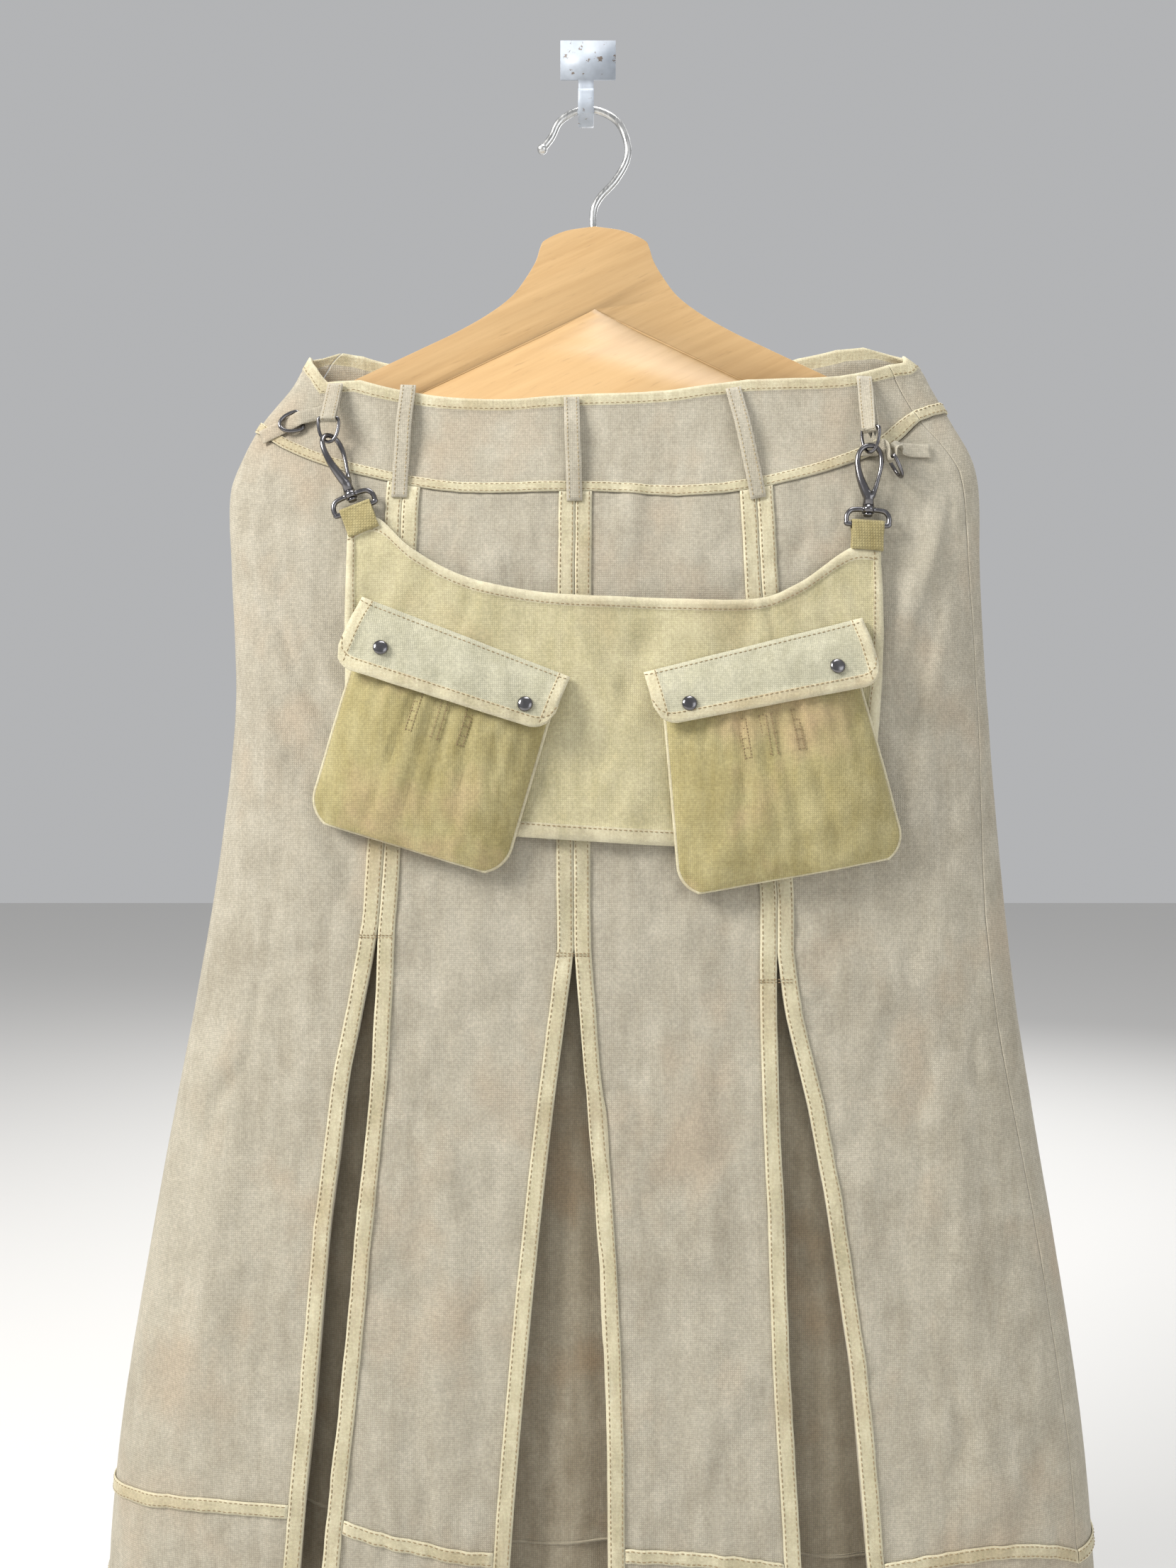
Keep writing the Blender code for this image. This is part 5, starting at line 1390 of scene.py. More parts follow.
def side_strap(chain):
    """A strap from the waistband's top edge, folded round the bar of the hanging ring."""
    bar = chain_frame(chain)[2]
    top = waist_top(front_angle(chain.strap_x, -0.215)) - 0.0008
    seat = BINDING_RAISE + SEAT + STRAP_CLOTH / 2 + 0.0003
    across = turned(chain.ring_turn)
    behind = UP.cross(across).normalized()
    bend = RING_WIRE + SEAT + STRAP_CLOTH / 2 + 0.0002
    along_top = front_point(chain.strap_x + 0.003, top) - front_point(chain.strap_x - 0.003, top)
    inner = front_point(chain.strap_x, top, seat)
    outer = front_point(chain.strap_x, top, seat + STRAP_CLOTH + GAP)
    path = [inner]
    widths = [along_top.normalized()]
    twists = (0.35, 0.7)
    for t in twists:
        path.append(inner.lerp(bar + behind * bend, t))
        widths.append(turned(chain.ring_turn * t))
    for k in range(7):
        swing = math.radians(180 * k / 6)
        path.append(bar + behind * bend * math.cos(swing) - UP * bend * math.sin(swing))
        widths.append(across)
    for t in reversed(twists):
        path.append(outer.lerp(bar - behind * bend, t))
        widths.append(turned(chain.ring_turn * t))
    path.append(outer)
    widths.append(along_top.normalized())
    strip(f"side_strap_{chain.name}", path, widths, 0.0088, STRAP_CLOTH, TAUPE)


def d_ring(name, bar, across, down, width, drop, radius, material):
    """A D-shaped ring: a straight bar, and a bow that hangs from it."""
    half = width / 2
    points = [bar - across * half * k for k in (-0.85, 0.0, 0.85)]
    for k in range(11):
        swing = math.radians(8 + 164 * k / 10)
        side = across * (-half * math.cos(swing))
        points.append(bar + side + down * drop * math.sin(swing) ** 0.8)
    return wire(name, points, radius, material, closed=True, sides=1)


def strap_ring(chain):
    _, _, bar = chain_frame(chain)
    across = turned(chain.ring_turn)
    name = f"strap_ring_{chain.name}"
    d_ring(name, bar, across, -UP, RING_WIDTH, RING_DROP, RING_WIRE, METAL)


def clip_place(chain, turn):
    """Matrix of a clip: origin at the swivel, local Z up the chain, local X across."""
    bar, top, _ = chain_frame(chain)
    up = (top - bar).normalized()
    way = chain_way(chain)
    across = Vector((way.z, 0, -way.x))
    depth = up.cross(across)
    basis = Matrix((across, depth, up)).transposed().to_4x4()
    spin = Matrix.Rotation(math.radians(turn), 4, "Z")
    return Matrix.Translation(bar + up * BOSS_TO_BAR) @ basis @ spin


Bend = namedtuple("Bend", "x z size")
HOOK_OUTLINE = [
    Bend(0.0004, 0.0075, 1.9),
    Bend(-0.0032, 0.0135, 1.7),
    Bend(-0.0060, 0.0210, 1.35),
    Bend(-0.0072, 0.0285, 1.1),
    Bend(-0.0060, 0.0345, 1.0),
    Bend(-0.0022, 0.0379, 1.0),
    Bend(0.0022, 0.0379, 1.0),
    Bend(0.0054, 0.0350, 1.0),
    Bend(0.0066, 0.0300, 1.0),
    Bend(0.0062, 0.0240, 0.8),
    Bend(0.0048, 0.0175, 0.8),
    Bend(0.0032, 0.0115, 1.0),
]


def snap_hook(chain):
    """The cast hook with its gate, and the post and head that turn in the swivel."""
    points = [Vector((b.x, 0, b.z)) for b in HOOK_OUTLINE]
    sizes = [b.size for b in HOOK_OUTLINE]
    name = f"snap_hook_{chain.name}"
    body = as_mesh(wire(name, points, CLIP_WIRE, METAL, closed=True, radii=sizes))
    pieces = (
        ("barrel", 0.0023, 0.0105, 0.0031, 0.0026),
        ("post", -0.0030, 0.0040, 0.0015, 0.0015),
        ("head", -0.0039, -0.0023, 0.0024, 0.0026),
    )
    for label, low, high, radius_low, radius_high in pieces:
        bar = cone(
            f"{name}_{label}",
            Vector((0, 0, low)),
            Vector((0, 0, high)),
            radius_low,
            radius_high,
            METAL,
        )
        combine(body, bar, "UNION")
        bar.matrix_world = clip_place(chain, chain.hook_turn) @ bar.matrix_world
    body.matrix_world = clip_place(chain, chain.hook_turn)


def swivel_ring(chain):
    """The D that turns on the hook's post, its bar through the webbing."""
    half = [(0.0112, -0.0090), (0.0122, -0.0078), (0.0122, -0.0045), (0.0108, -0.0018), (0.0080, -0.0004)]
    outline = [(0.0, -0.0090)] + half + [(0.0, 0.0)] + [(-x, z) for x, z in reversed(half)]
    points = [Vector((x, 0, z)) for x, z in outline]
    name = f"swivel_ring_{chain.name}"
    body = as_mesh(wire(name, points, CLIP_WIRE, METAL, closed=True, sides=1))
    place = clip_place(chain, 0)
    low, high = Vector((0, 0, -0.0020)), Vector((0, 0, 0.0020))
    boss = cone(f"{name}_boss", low, high, 0.0034, 0.0034, METAL)
    hole = cone(f"{name}_hole", low * 3, high * 3, 0.0019, 0.0019, METAL)
    combine(body, boss, "UNION")
    combine(body, hole, "DIFFERENCE")
    boss.matrix_world = place @ boss.matrix_world
    hole.matrix_world = place @ hole.matrix_world
    body.matrix_world = place


def webbing_loop(chain):
    """Webbing folded over the swivel ring's bar, one end on each side of the apron's corner."""
    bar = chain_frame(chain)[0]
    way = chain_way(chain)
    turn = Vector((way.z, 0, -way.x))
    bend = CLIP_WIRE + GAP + WEBBING_CLOTH / 2

    def leg(down, out):
        place = bar - way * down
        return apron_point(place.x, place.z, out)

    front = SEAT + BINDING_RAISE + WEBBING_CLOTH / 2
    back = -CLOTH - SEAT - WEBBING_CLOTH / 2
    path = [leg(WEBBING_LENGTH, back), leg(0.0065, back - 0.0001)]
    for k in range(7):
        swing = math.radians(-10 + 200 * k / 6)
        path.append(bar + BACK * bend * math.cos(swing) + way * bend * math.sin(swing))
    path += [leg(0.0065, front + 0.0001), leg(WEBBING_LENGTH, front)]
    span = 0.004
    widths = []
    for p in path:
        high = apron_point(p.x + turn.x * span, p.z + turn.z * span)
        low = apron_point(p.x - turn.x * span, p.z - turn.z * span)
        widths.append((high - low).normalized())
    for k in range(2, len(path) - 2):
        widths[k] = turn
    strip(f"webbing_loop_{chain.name}", path, widths, WEBBING_WIDTH, WEBBING_CLOTH, KHAKI)


SPARE_WIRE = 0.0011
SPARE_WIDTH = 0.0126
SPARE_DROP = 0.0125
TAB_WIDTH = 0.0086
# The left tab lies on the waistband and passes over its ring's bar: x, z and height of its middle
Route = namedtuple("Route", "x z out")
LEFT_TAB = [
    Route(-0.1560, -0.2297, 0.0010),
    Route(-0.1612, -0.2312, 0.0012),
    Route(-0.1657, -0.2329, 0.0026),
    Route(-0.1695, -0.2343, 0.0037),
    Route(-0.1733, -0.2359, 0.0026),
    Route(-0.1780, -0.2379, 0.0019),
    Route(-0.1850, -0.2412, 0.0022),
    Route(-0.1925, -0.2448, 0.0024),
]
LEFT_BAR = Route(-0.1695, -0.2343, 0.0016)
LEFT_RING_RISE = 14.0
RIGHT_BAR = Vector((0.1756, -0.0568, -0.2600))
RIGHT_RING_LEAN = 28.0
RIGHT_TAB_Z = -0.2540


def left_ring_frame():
    """The left spare ring's bar, its direction, and the way its bow lies."""
    bar = front_point(*LEFT_BAR)
    ahead = front_point(LEFT_TAB[-2].x, LEFT_TAB[-2].z, LEFT_BAR.out)
    way = (ahead - bar).normalized()
    normal = outward(LEFT_BAR.z, front_angle(LEFT_BAR.x, LEFT_BAR.z))
    across = normal.cross(way).normalized()
    rise = math.radians(LEFT_RING_RISE)
    return bar, across, way * math.cos(rise) + normal * math.sin(rise)


def left_tab():
    bar, across, way = left_ring_frame()
    path = [front_point(*place) for place in LEFT_TAB]
    strip("side_tab_left", path, [across] * len(path), TAB_WIDTH, STRAP_CLOTH, TAUPE)
    name = "spare_ring_left"
    d_ring(name, bar, across, way, SPARE_WIDTH, SPARE_DROP, SPARE_WIRE, METAL)


def right_tab():
    """A tab sewn down at both ends, pinched in the middle into a loop that holds the ring's bar."""
    bend = SPARE_WIRE + GAP + STRAP_CLOTH / 2 + 0.0001
    hang = RIGHT_BAR

    def flat(x, out):
        return front_point(x, RIGHT_TAB_Z, out)

    stops = [
        (flat(0.1590, 0.0023), 90),
        (flat(0.1640, 0.0026), 88),
        (flat(0.1690, 0.0042), 70),
        (hang + Vector((-bend - 0.0016, 0.0010, 0.0066)), 35),
        (hang + Vector((-bend - 0.0001, 0.0, 0.0040)), 8),
        (hang + Vector((-bend, 0, 0.0006)), 0),
        (hang + Vector((-bend * 0.7, 0, -bend * 0.7)), 0),
        (hang + Vector((0, 0, -bend)), 0),
        (hang + Vector((bend * 0.7, 0, -bend * 0.7)), 0),
        (hang + Vector((bend, 0, 0.0006)), 0),
        (hang + Vector((bend + 0.0001, 0.0, 0.0040)), -8),
        (hang + Vector((bend + 0.0016, 0.0010, 0.0066)), -35),
        (flat(0.1830, 0.0042), -70),
        (flat(0.1885, 0.0026), -88),
        (flat(0.1945, 0.0023), -90),
        (flat(0.2005, 0.0023), -90),
    ]
    path = [place for place, _ in stops]
    widths = []
    for place, degrees in stops:
        share = math.radians(degrees)
        high, low = front_point(place.x, RIGHT_TAB_Z + 0.004), front_point(place.x, RIGHT_TAB_Z - 0.004)
        widths.append(BACK * math.cos(share) - (high - low).normalized() * math.sin(share))
    strip("side_tab_right", path, widths, TAB_WIDTH, STRAP_CLOTH, TAUPE)
    lean = math.radians(RIGHT_RING_LEAN)
    down = Vector((math.sin(lean), 0, -math.cos(lean)))
    name = "spare_ring_right"
    d_ring(name, hang, BACK, down, SPARE_WIDTH, SPARE_DROP, SPARE_WIRE, METAL)


# Pocket apron


def apron_out(x, z):
    """How far the apron stands off the skirt: a little more where it sags between the pockets."""
    sag = 0.0018 * math.exp(-(((x - 0.012) / 0.03) ** 2) - ((z + 0.415) / 0.05) ** 2)
    return APRON_STANDOFF + sag


APRON_CREASES = [
    Crease("front", -0.0640, -0.3350, -0.0710, -0.3540, 0.0018, -0.0012),
    Crease("front", 0.1020, -0.3450, 0.1060, -0.3650, 0.0018, -0.0012),
    Crease("front", -0.0100, -0.3600, 0.0160, -0.4000, 0.0050, 0.0016),
    Crease("front", 0.0300, -0.3700, 0.0100, -0.4300, 0.0050, -0.0014),
    Crease("front", -0.0100, -0.4300, 0.0220, -0.4600, 0.0040, 0.0012),
    Crease("front", -0.1300, -0.3400, -0.1150, -0.3800, 0.0040, 0.0012),
    Crease("front", 0.1450, -0.3400, 0.1600, -0.3900, 0.0040, 0.0012),
]


def apron_creases(x, z):
    total = 0.0
    for fold in APRON_CREASES:
        dx, dz = fold.x1 - fold.x0, fold.z1 - fold.z0
        length = math.hypot(dx, dz)
        off = ((x - fold.x0) * dz - (z - fold.z0) * dx) / length
        t = ((x - fold.x0) * dx + (z - fold.z0) * dz) / length**2
        beyond = max(-t, t - 1, 0.0) * length
        total += fold.height * math.exp(-((off / fold.width) ** 2) - (beyond / 0.012) ** 2)
    return total


def apron_point(x, z, out=0.0):
    ring = row_at(RINGS, z)
    middle, half = (ring.left + ring.right) / 2, (ring.right - ring.left) / 2
    share = min(abs(x - middle) / half, 0.98)
    y = HANGER_Y - ring.front * (1 - share**ROUNDNESS) ** (1 / ROUNDNESS)
    wave = 0.8 * crumple(x * 1.4 + 0.3, z * 1.4, "front") + apron_creases(x, z)
    return Vector((x, y - apron_out(x, z) - out - wave, z))


def apron_outline(s, t):
    """A place on the apron: s from left to right, t from the top edge to the bottom."""
    top, bottom = along(APRON_TOP, s), along(APRON_BOTTOM, s)
    left, right = along(APRON_LEFT, t), along(APRON_RIGHT, t)
    corner = (
        Vector(APRON_TOP[0]) * (1 - s) * (1 - t)
        + Vector(APRON_TOP[-1]) * s * (1 - t)
        + Vector(APRON_BOTTOM[0]) * (1 - s) * t
        + Vector(APRON_BOTTOM[-1]) * s * t
    )
    return top * (1 - t) + bottom * t + left * (1 - s) + right * s - corner


def apron():
    middle_shares = [0.031 + 0.938 * k / 100 for k in range(1, 100)]
    shares = [0.0, 0.015, 0.029, 0.031] + middle_shares + [0.969, 0.971, 0.985, 1.0]
    middle_drops = [0.060 + 0.880 * k / 54 for k in range(1, 54)]
    drops = [0.0, 0.028, 0.055, 0.060] + middle_drops + [0.940, 0.945, 0.972, 1.0]
    rows = []
    for t in drops:
        row = []
        for s in shares:
            place = apron_outline(s, t)
            edge = t < 0.057 or t > 0.943 or s < 0.030 or s > 0.970
            row.append(apron_point(place.x, place.y, BINDING_RAISE if edge else 0.0))
        rows.append(row)
    last_row, last_column = len(drops) - 1, len(shares) - 1
    sheet("apron", rows, CLOTH, APRON_CLOTH,
          lambda v, u: v < 2 or v > last_row - 2 or u < 2 or u > last_column - 2)


def pocket_place(pocket, a, b):
    """Front view place of a point a across and b down a pocket bag."""
    turn = math.radians(pocket.tilt)
    x = pocket.x + a * math.cos(turn) + b * math.sin(turn)
    z = pocket.z + a * math.sin(turn) - b * math.cos(turn)
    return x, z


TUCKS = (-0.26, -0.06, 0.06, 0.26)


def pocket_half_width(pocket, b):
    half = (pocket.mouth + (pocket.bottom - pocket.mouth) * b / pocket.drop) / 2
    rise = b - (pocket.drop - POCKET_CORNER)
    if rise > 0:
        half -= POCKET_CORNER - math.sqrt(max(POCKET_CORNER**2 - rise**2, 0.0))
    return half


def pocket_front_depth(pocket, share, b):
    """How far the front of a pocket stands off its back at share -1 to 1 across, b down."""
    drop = b / pocket.drop
    body = pocket.depth * (0.56 + 0.44 * math.sin(math.pi * min(drop * 0.95, 1.0)) ** 0.8)
    body *= (1 - abs(share) ** 3.0) ** 0.6
    body *= (1 - max(drop - 0.55, 0.0) ** 2 / 0.2025) ** 0.5 if drop < 1 else 0.0
    tuck = 0.0
    for place in TUCKS:
        tuck -= 0.0032 * math.exp(-(abs(share - place * (1 + 0.7 * drop)) / 0.034))
    return body + tuck * math.sin(math.pi * min(max(drop, 0.0), 1.0))


POCKET_ROWS = [0.985 * math.sin(math.pi / 2 * k / 44) for k in range(45)]
POCKET_SPAN = 60


POCKET_WALL = 0.0010


def dressed_depth(pocket, share, b, x, z):
    """The pocket front's stand-off with its fanning creases and crumples."""
    depth = max(pocket_front_depth(pocket, share, b), 0.0) + 2 * POCKET_WALL + 0.0006
    fan = math.exp(-((b / 0.044) ** 2)) * 0.0010
    depth += fan * math.sin(share * 34 + 2) * (1 - abs(share) ** 4)
    depth += 0.6 * crumple(x * 1.5, z * 1.5 + 0.4, "back") * min((1 - abs(share)) * 6, 1.0)
    return max(depth, 2 * POCKET_WALL + 0.0002)


def pocket_front(pocket, share, b, out=0.0):
    x, z = pocket_place(pocket, pocket_half_width(pocket, b) * share, b)
    return apron_point(x, z, BINDING_RAISE + SEAT + out + dressed_depth(pocket, share, b, x, z))


def pocket_trim(pocket):
    """Piping round a pocket's sides and foot, and the bartacks that hold its tucks."""
    path = []
    for k in range(26):
        b = pocket.drop * 0.985 * math.sin(math.pi / 2 * k / 25)
        path.append((-1.0, b))
    path += [(-1 + 2 * k / 16, pocket.drop * 0.985) for k in range(1, 16)]
    path += [(1.0, b) for _, b in reversed(path[:26])]
    points = []
    for share, b in path:
        x, z = pocket_place(pocket, pocket_half_width(pocket, b) * share * 1.006, b)
        points.append(apron_point(x, z, BINDING_RAISE + SEAT + 0.0015))
    cord = as_mesh(wire(f"pocket_piping_{pocket.name}", points, 0.0012, CREAM))
    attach(cord, "skirt")
    lines = []
    for tuck in TUCKS:
        for edge in (-0.030, 0.030):
            run = [0.020 + 0.024 * k / 12 for k in range(13)]
            points = [pocket_front(pocket, tuck + edge, b, 0.0001) for b in run]
            lines.append((points, [-BACK] * len(points)))
        for b in (0.020, 0.0255, 0.031, 0.0365, 0.042):
            points = [pocket_front(pocket, tuck + 0.034 * k / 4, b, 0.0001) for k in range(-4, 5)]
            lines.append((points, [-BACK] * len(points)))
    stitched(f"pocket_bartacks_{pocket.name}", lines, THREAD, 0.0018)


def pocket_bag(pocket):
    """An open-topped bag: each row goes across the front and comes back behind, then the foot closes."""
    wall = POCKET_WALL
    back_out = BINDING_RAISE + SEAT
    rings = []
    for g in POCKET_ROWS:
        b = pocket.drop * g
        half = pocket_half_width(pocket, b)
        ring = []
        for k in range(POCKET_SPAN + 1):
            share = -math.cos(math.pi * k / POCKET_SPAN)
            x, z = pocket_place(pocket, half * share, b)
            ring.append(apron_point(x, z, back_out + dressed_depth(pocket, share, b, x, z)))
        for k in range(POCKET_SPAN - 1, 0, -1):
            share = -math.cos(math.pi * k / POCKET_SPAN)
            x, z = pocket_place(pocket, half * share, b)
            ring.append(apron_point(x, z, back_out))
        rings.append(ring)
    mesh = bpy.data.meshes.new(f"pocket_{pocket.name}_mesh")
    shape = bmesh.new()
    loops = [[shape.verts.new(p) for p in ring] for ring in rings]
    count = len(loops[0])
    for high, low in zip(loops, loops[1:]):
        for k in range(count):
            n = (k + 1) % count
            shape.faces.new((high[k], low[k], low[n], high[n]))
    foot = loops[-1]
    for k in range(POCKET_SPAN):
        front_a, front_b = foot[k], foot[k + 1]
        back_a = foot[-k] if k else foot[0]
        back_b = foot[-k - 1] if k + 1 < POCKET_SPAN else foot[POCKET_SPAN]
        corners = [front_a, back_a, back_b, front_b]
        unique = list(dict.fromkeys(corners))
        if len(unique) > 2:
            shape.faces.new(unique)
    shape.to_mesh(mesh)
    shape.free()
    mesh.shade_smooth()
    bag = add_object(f"pocket_{pocket.name}", mesh, POCKET_CLOTH)
    solidify(bag, wall)
    bag.modifiers["wall"].use_even_offset = False


def flap_place(flap, a, b):
    turn = math.radians(flap.slope)
    x = flap.x + a * math.cos(turn) + b * math.sin(turn)
    z = flap.z + a * math.sin(turn) - b * math.cos(turn)
    return x, z


def flap_out(b):
    """Sewn to the apron at the top, the flap leans out over the pocket's mouth."""
    return row_at(FLAP_LEAN, b).out


def flap_drop(flap, share):
    """The flap's length at share 0 to 1 of its width, with its two lower corners rounded."""
    full = flap.drop_left + (flap.drop_right - flap.drop_left) * share
    edge = min(share, 1 - share) * flap.length
    if edge >= FLAP_CORNER:
        return full
    left = FLAP_CORNER - edge
    return full - FLAP_CORNER + math.sqrt(FLAP_CORNER**2 - left**2)


def flaps():
    shares = [0.0, 0.02, 0.04, 0.055, 0.062] + [0.062 + 0.876 * k / 40 for k in range(1, 40)]
    shares += [0.938, 0.945, 0.96, 0.98, 1.0]
    last = len(shares) - 1
    for flap in FLAPS:
        rows = []
        drops = [0.80 * k / 11 for k in range(12)] + [0.815, 0.87, 0.93, 1.0]
        for t in drops:
            row = []
            for share in shares:
                a = (share - 0.5) * flap.length
                b = flap_drop(flap, share) * t
                x, z = flap_place(flap, a, b)
                bound = BINDING_RAISE if t > 0.81 or share < 0.058 or share > 0.942 else 0.0
                row.append(apron_point(x, z, flap_out(b) + bound))
            rows.append(row)
        sheet(f"flap_{flap.name}", rows, CLOTH, FLAP_CLOTH, lambda v, u: v > 12 or u < 3 or u > last - 3)
        for k, a in enumerate(flap.studs):
            stud(f"stud_{flap.name}_{k + 1}", flap, a)


def stud(name, flap, a):
    """A press stud's cap: a low turned dome on the flap."""
    x, z = flap_place(flap, a, STUD_DROP)
    seat = apron_point(x, z, flap_out(STUD_DROP) + SEAT)
    step = 0.004
    below = flap_place(flap, a, STUD_DROP + step)
    above = flap_place(flap, a, STUD_DROP - step)
    low = apron_point(*below, flap_out(STUD_DROP + step))
    high = apron_point(*above, flap_out(STUD_DROP - step))
    side_a = apron_point(*flap_place(flap, a - step, STUD_DROP), flap_out(STUD_DROP))
    side_b = apron_point(*flap_place(flap, a + step, STUD_DROP), flap_out(STUD_DROP))
    normal = (low - high).cross(side_b - side_a).normalized()
    mesh = bpy.data.meshes.new(name)
    profile = [(0.0, 0.0016), (0.0024, 0.0014), (0.0038, 0.0009),
               (STUD_RADIUS, 0.0002), (STUD_RADIUS, 0.0), (0.0, 0.0)]
    edges = [(k, k + 1) for k in range(len(profile) - 1)]
    mesh.from_pydata([(r, 0, h) for r, h in profile], edges, [])
    cap = add_object(name, mesh, METAL)
    turn = cap.modifiers.new("turn", "SCREW")
    turn.steps = turn.render_steps = 32
    turn.use_merge_vertices = True
    turn.merge_threshold = 0.00001
    place = normal.to_track_quat("Z", "Y").to_matrix().to_4x4()
    cap.matrix_world = Matrix.Translation(seat + normal * 0.0003) @ place


# Hanger and wall hook


def hanger():
    """The shaped wooden hanger, with the hole that its wire stands in."""
    count = 4 * (len(HANGER_HALF) - 1)
    half = [along([(p.x, p.z) for p in HANGER_HALF], k / count) for k in range(count + 1)]
    outline = [(HANGER_X + p.x, p.y) for p in half]
    outline += [(HANGER_X - p.x, p.y) for p in reversed(half[1:-1])]
    mesh = bpy.data.meshes.new("hanger")
    shape = bmesh.new()
    front = [shape.verts.new((x, HANGER_Y - HANGER_THICKNESS / 2, z)) for x, z in outline]
    face = shape.faces.new(front)
    grown = bmesh.ops.extrude_face_region(shape, geom=[face])
    moved = [v for v in grown["geom"] if isinstance(v, bmesh.types.BMVert)]
    bmesh.ops.translate(shape, verts=moved, vec=(0, HANGER_THICKNESS, 0))
    reach = HANGER_HALF[-6].x
    for vertex in shape.verts:
        out = min(abs(vertex.co.x - HANGER_X) / reach, 1.0) ** 2
        share = 1 - out * (1 - HANGER_TIP_THICKNESS / HANGER_THICKNESS)
        vertex.co.y = HANGER_Y + (vertex.co.y - HANGER_Y) * share
    bmesh.ops.recalc_face_normals(shape, faces=shape.faces)
    shape.to_mesh(mesh)
    shape.free()
    made = add_object("hanger", mesh, WOOD)
    round_edges = made.modifiers.new("round", "BEVEL")
    round_edges.width = 0.0028
    round_edges.segments = 4
    round_edges.angle_limit = math.radians(50)
    top = Vector((HANGER_X, HANGER_Y, -0.105))
    hole = cone("wire_hole", Vector((HANGER_X, HANGER_Y, -0.1295)), top, WIRE_HOLE, WIRE_HOLE, WOOD)
    combine(made, hole, "DIFFERENCE")


def hanger_hook():
    steps = 34
    points = []
    for k in range(steps + 1):
        p = along([(q.x, q.z) for q in HOOK_ROUTE], k / steps)
        points.append(Vector((p.x, HANGER_Y, p.y)))
    points[0] = Vector((HANGER_X, HANGER_Y, -0.1292))
    points[1] = Vector((HANGER_X, HANGER_Y, -0.1165))
    made = as_mesh(wire("hanger_hook", points, HANGER_WIRE, STEEL, sides=2))
    ball = bpy.data.meshes.new("hook_ball")
    shape = bmesh.new()
    bmesh.ops.create_uvsphere(shape, u_segments=32, v_segments=20, radius=HOOK_BALL)
    shape.to_mesh(ball)
    shape.free()
    end = add_object("hook_ball", ball, STEEL, CUTTERS)
    end.location = points[-1]
    end.hide_render = True
    end.display_type = "WIRE"
    combine(made, end, "UNION")


def wall_hook():
    """A plate on the wall, with a tongue that runs down, forward and up as the hook."""
    plate = bpy.data.meshes.new("wall_hook")
    shape = bmesh.new()
    bmesh.ops.create_cube(shape, size=1.0)
    shape.to_mesh(plate)
    shape.free()
    size = Matrix.Diagonal((PLATE_WIDTH, PLATE_THICKNESS, PLATE_HEIGHT, 1))
    plate.transform(Matrix.Translation((0, -PLATE_THICKNESS / 2, 0)) @ size)
    made = add_object("wall_hook", plate, PAINT)
    rest = -0.0440 - HANGER_WIRE - GAP - PLATE_THICKNESS / 2
    back = -PLATE_THICKNESS * 0.55
    route = [
        (back, 0.0),
        (back, -0.0200),
        (back, -0.0330),
        (back - 0.0010, -0.0385),
        (back - 0.0035, -0.0425),
        (back - 0.0080, -0.0450),
        (back - 0.0140, rest + 0.0002),
        (HANGER_Y - 0.0005, rest),
        (HANGER_Y - 0.0040, rest + 0.0013),
        (TONGUE_FRONT - 0.0002, rest + 0.0055),
        (TONGUE_FRONT, rest + 0.0130),
    ]
    path = [Vector((TONGUE_X, y, z)) for y, z in route]
    tongue = strip("tongue", path, [RIGHT] * len(path), TONGUE_WIDTH, PLATE_THICKNESS * 0.8, PAINT)
    PARTS.objects.unlink(tongue)
    CUTTERS.objects.link(tongue)
    tongue.hide_render = True
    tongue.display_type = "WIRE"
    combine(made, tongue, "UNION")


# Stitches


def resampled(points, step):
    """Points at equal steps along a line."""
    lengths = [0.0]
    for a, b in zip(points, points[1:]):
        lengths.append(lengths[-1] + (b - a).length)
    count = max(2, round(lengths[-1] / step))
    made = []
    i = 0
    for k in range(count + 1):
        want = lengths[-1] * k / count
        while i < len(points) - 2 and lengths[i + 1] < want:
            i += 1
        share = (want - lengths[i]) / max(lengths[i + 1] - lengths[i], 1e-9)
        made.append(points[i].lerp(points[i + 1], share))
    return made


def stitch_line(shape, points, outs, pitch, size=0.00026):
    """A row of short raised stitches along points, each sinking into the cloth at its ends."""
    fine = resampled(points, pitch / 4)
    raised = resampled([p + n * 0.001 for p, n in zip(points, outs)], pitch / 4)
    count = min(len(fine), len(raised))
    for k in range(0, count - 4, 4):
        rings = []
        for step, (lift, girth) in enumerate(((-0.5, 0.5), (0.75, 1.0), (0.75, 1.0), (-0.5, 0.5))):
            here = fine[k + step]
            out = (raised[k + step] - here).normalized()
            way = (fine[k + step + 1] - here).normalized()
            across = way.cross(out).normalized()
            middle = here + out * size * lift
            ring = []
            for turn in range(5):
                swing = math.tau * turn / 5
                spoke = across * math.cos(swing) + out * math.sin(swing)
                ring.append(shape.verts.new(middle + spoke * size * girth))
            rings.append(ring)
        for low, high in zip(rings, rings[1:]):
            for a in range(5):
                b = (a + 1) % 5
                shape.faces.new((low[a], low[b], high[b], high[a]))
        shape.faces.new(rings[0][::-1])
        shape.faces.new(rings[-1])


def surface_normal(rows, i, j):
    last_i, last_j = len(rows) - 1, len(rows[0]) - 1
    down = rows[min(i + 1, last_i)][j] - rows[max(i - 1, 0)][j]
    across = rows[i][min(j + 1, last_j)] - rows[i][max(j - 1, 0)]
    return down.cross(across).normalized()


def place_index(places, want):
    """Fine index, with its fraction, of a place in the coarse grid."""
    k = 0
    while k < len(places) - 2 and places[k + 1] < want:
        k += 1
    return k, min(max((want - places[k]) / (places[k + 1] - places[k]), 0.0), 1.0)


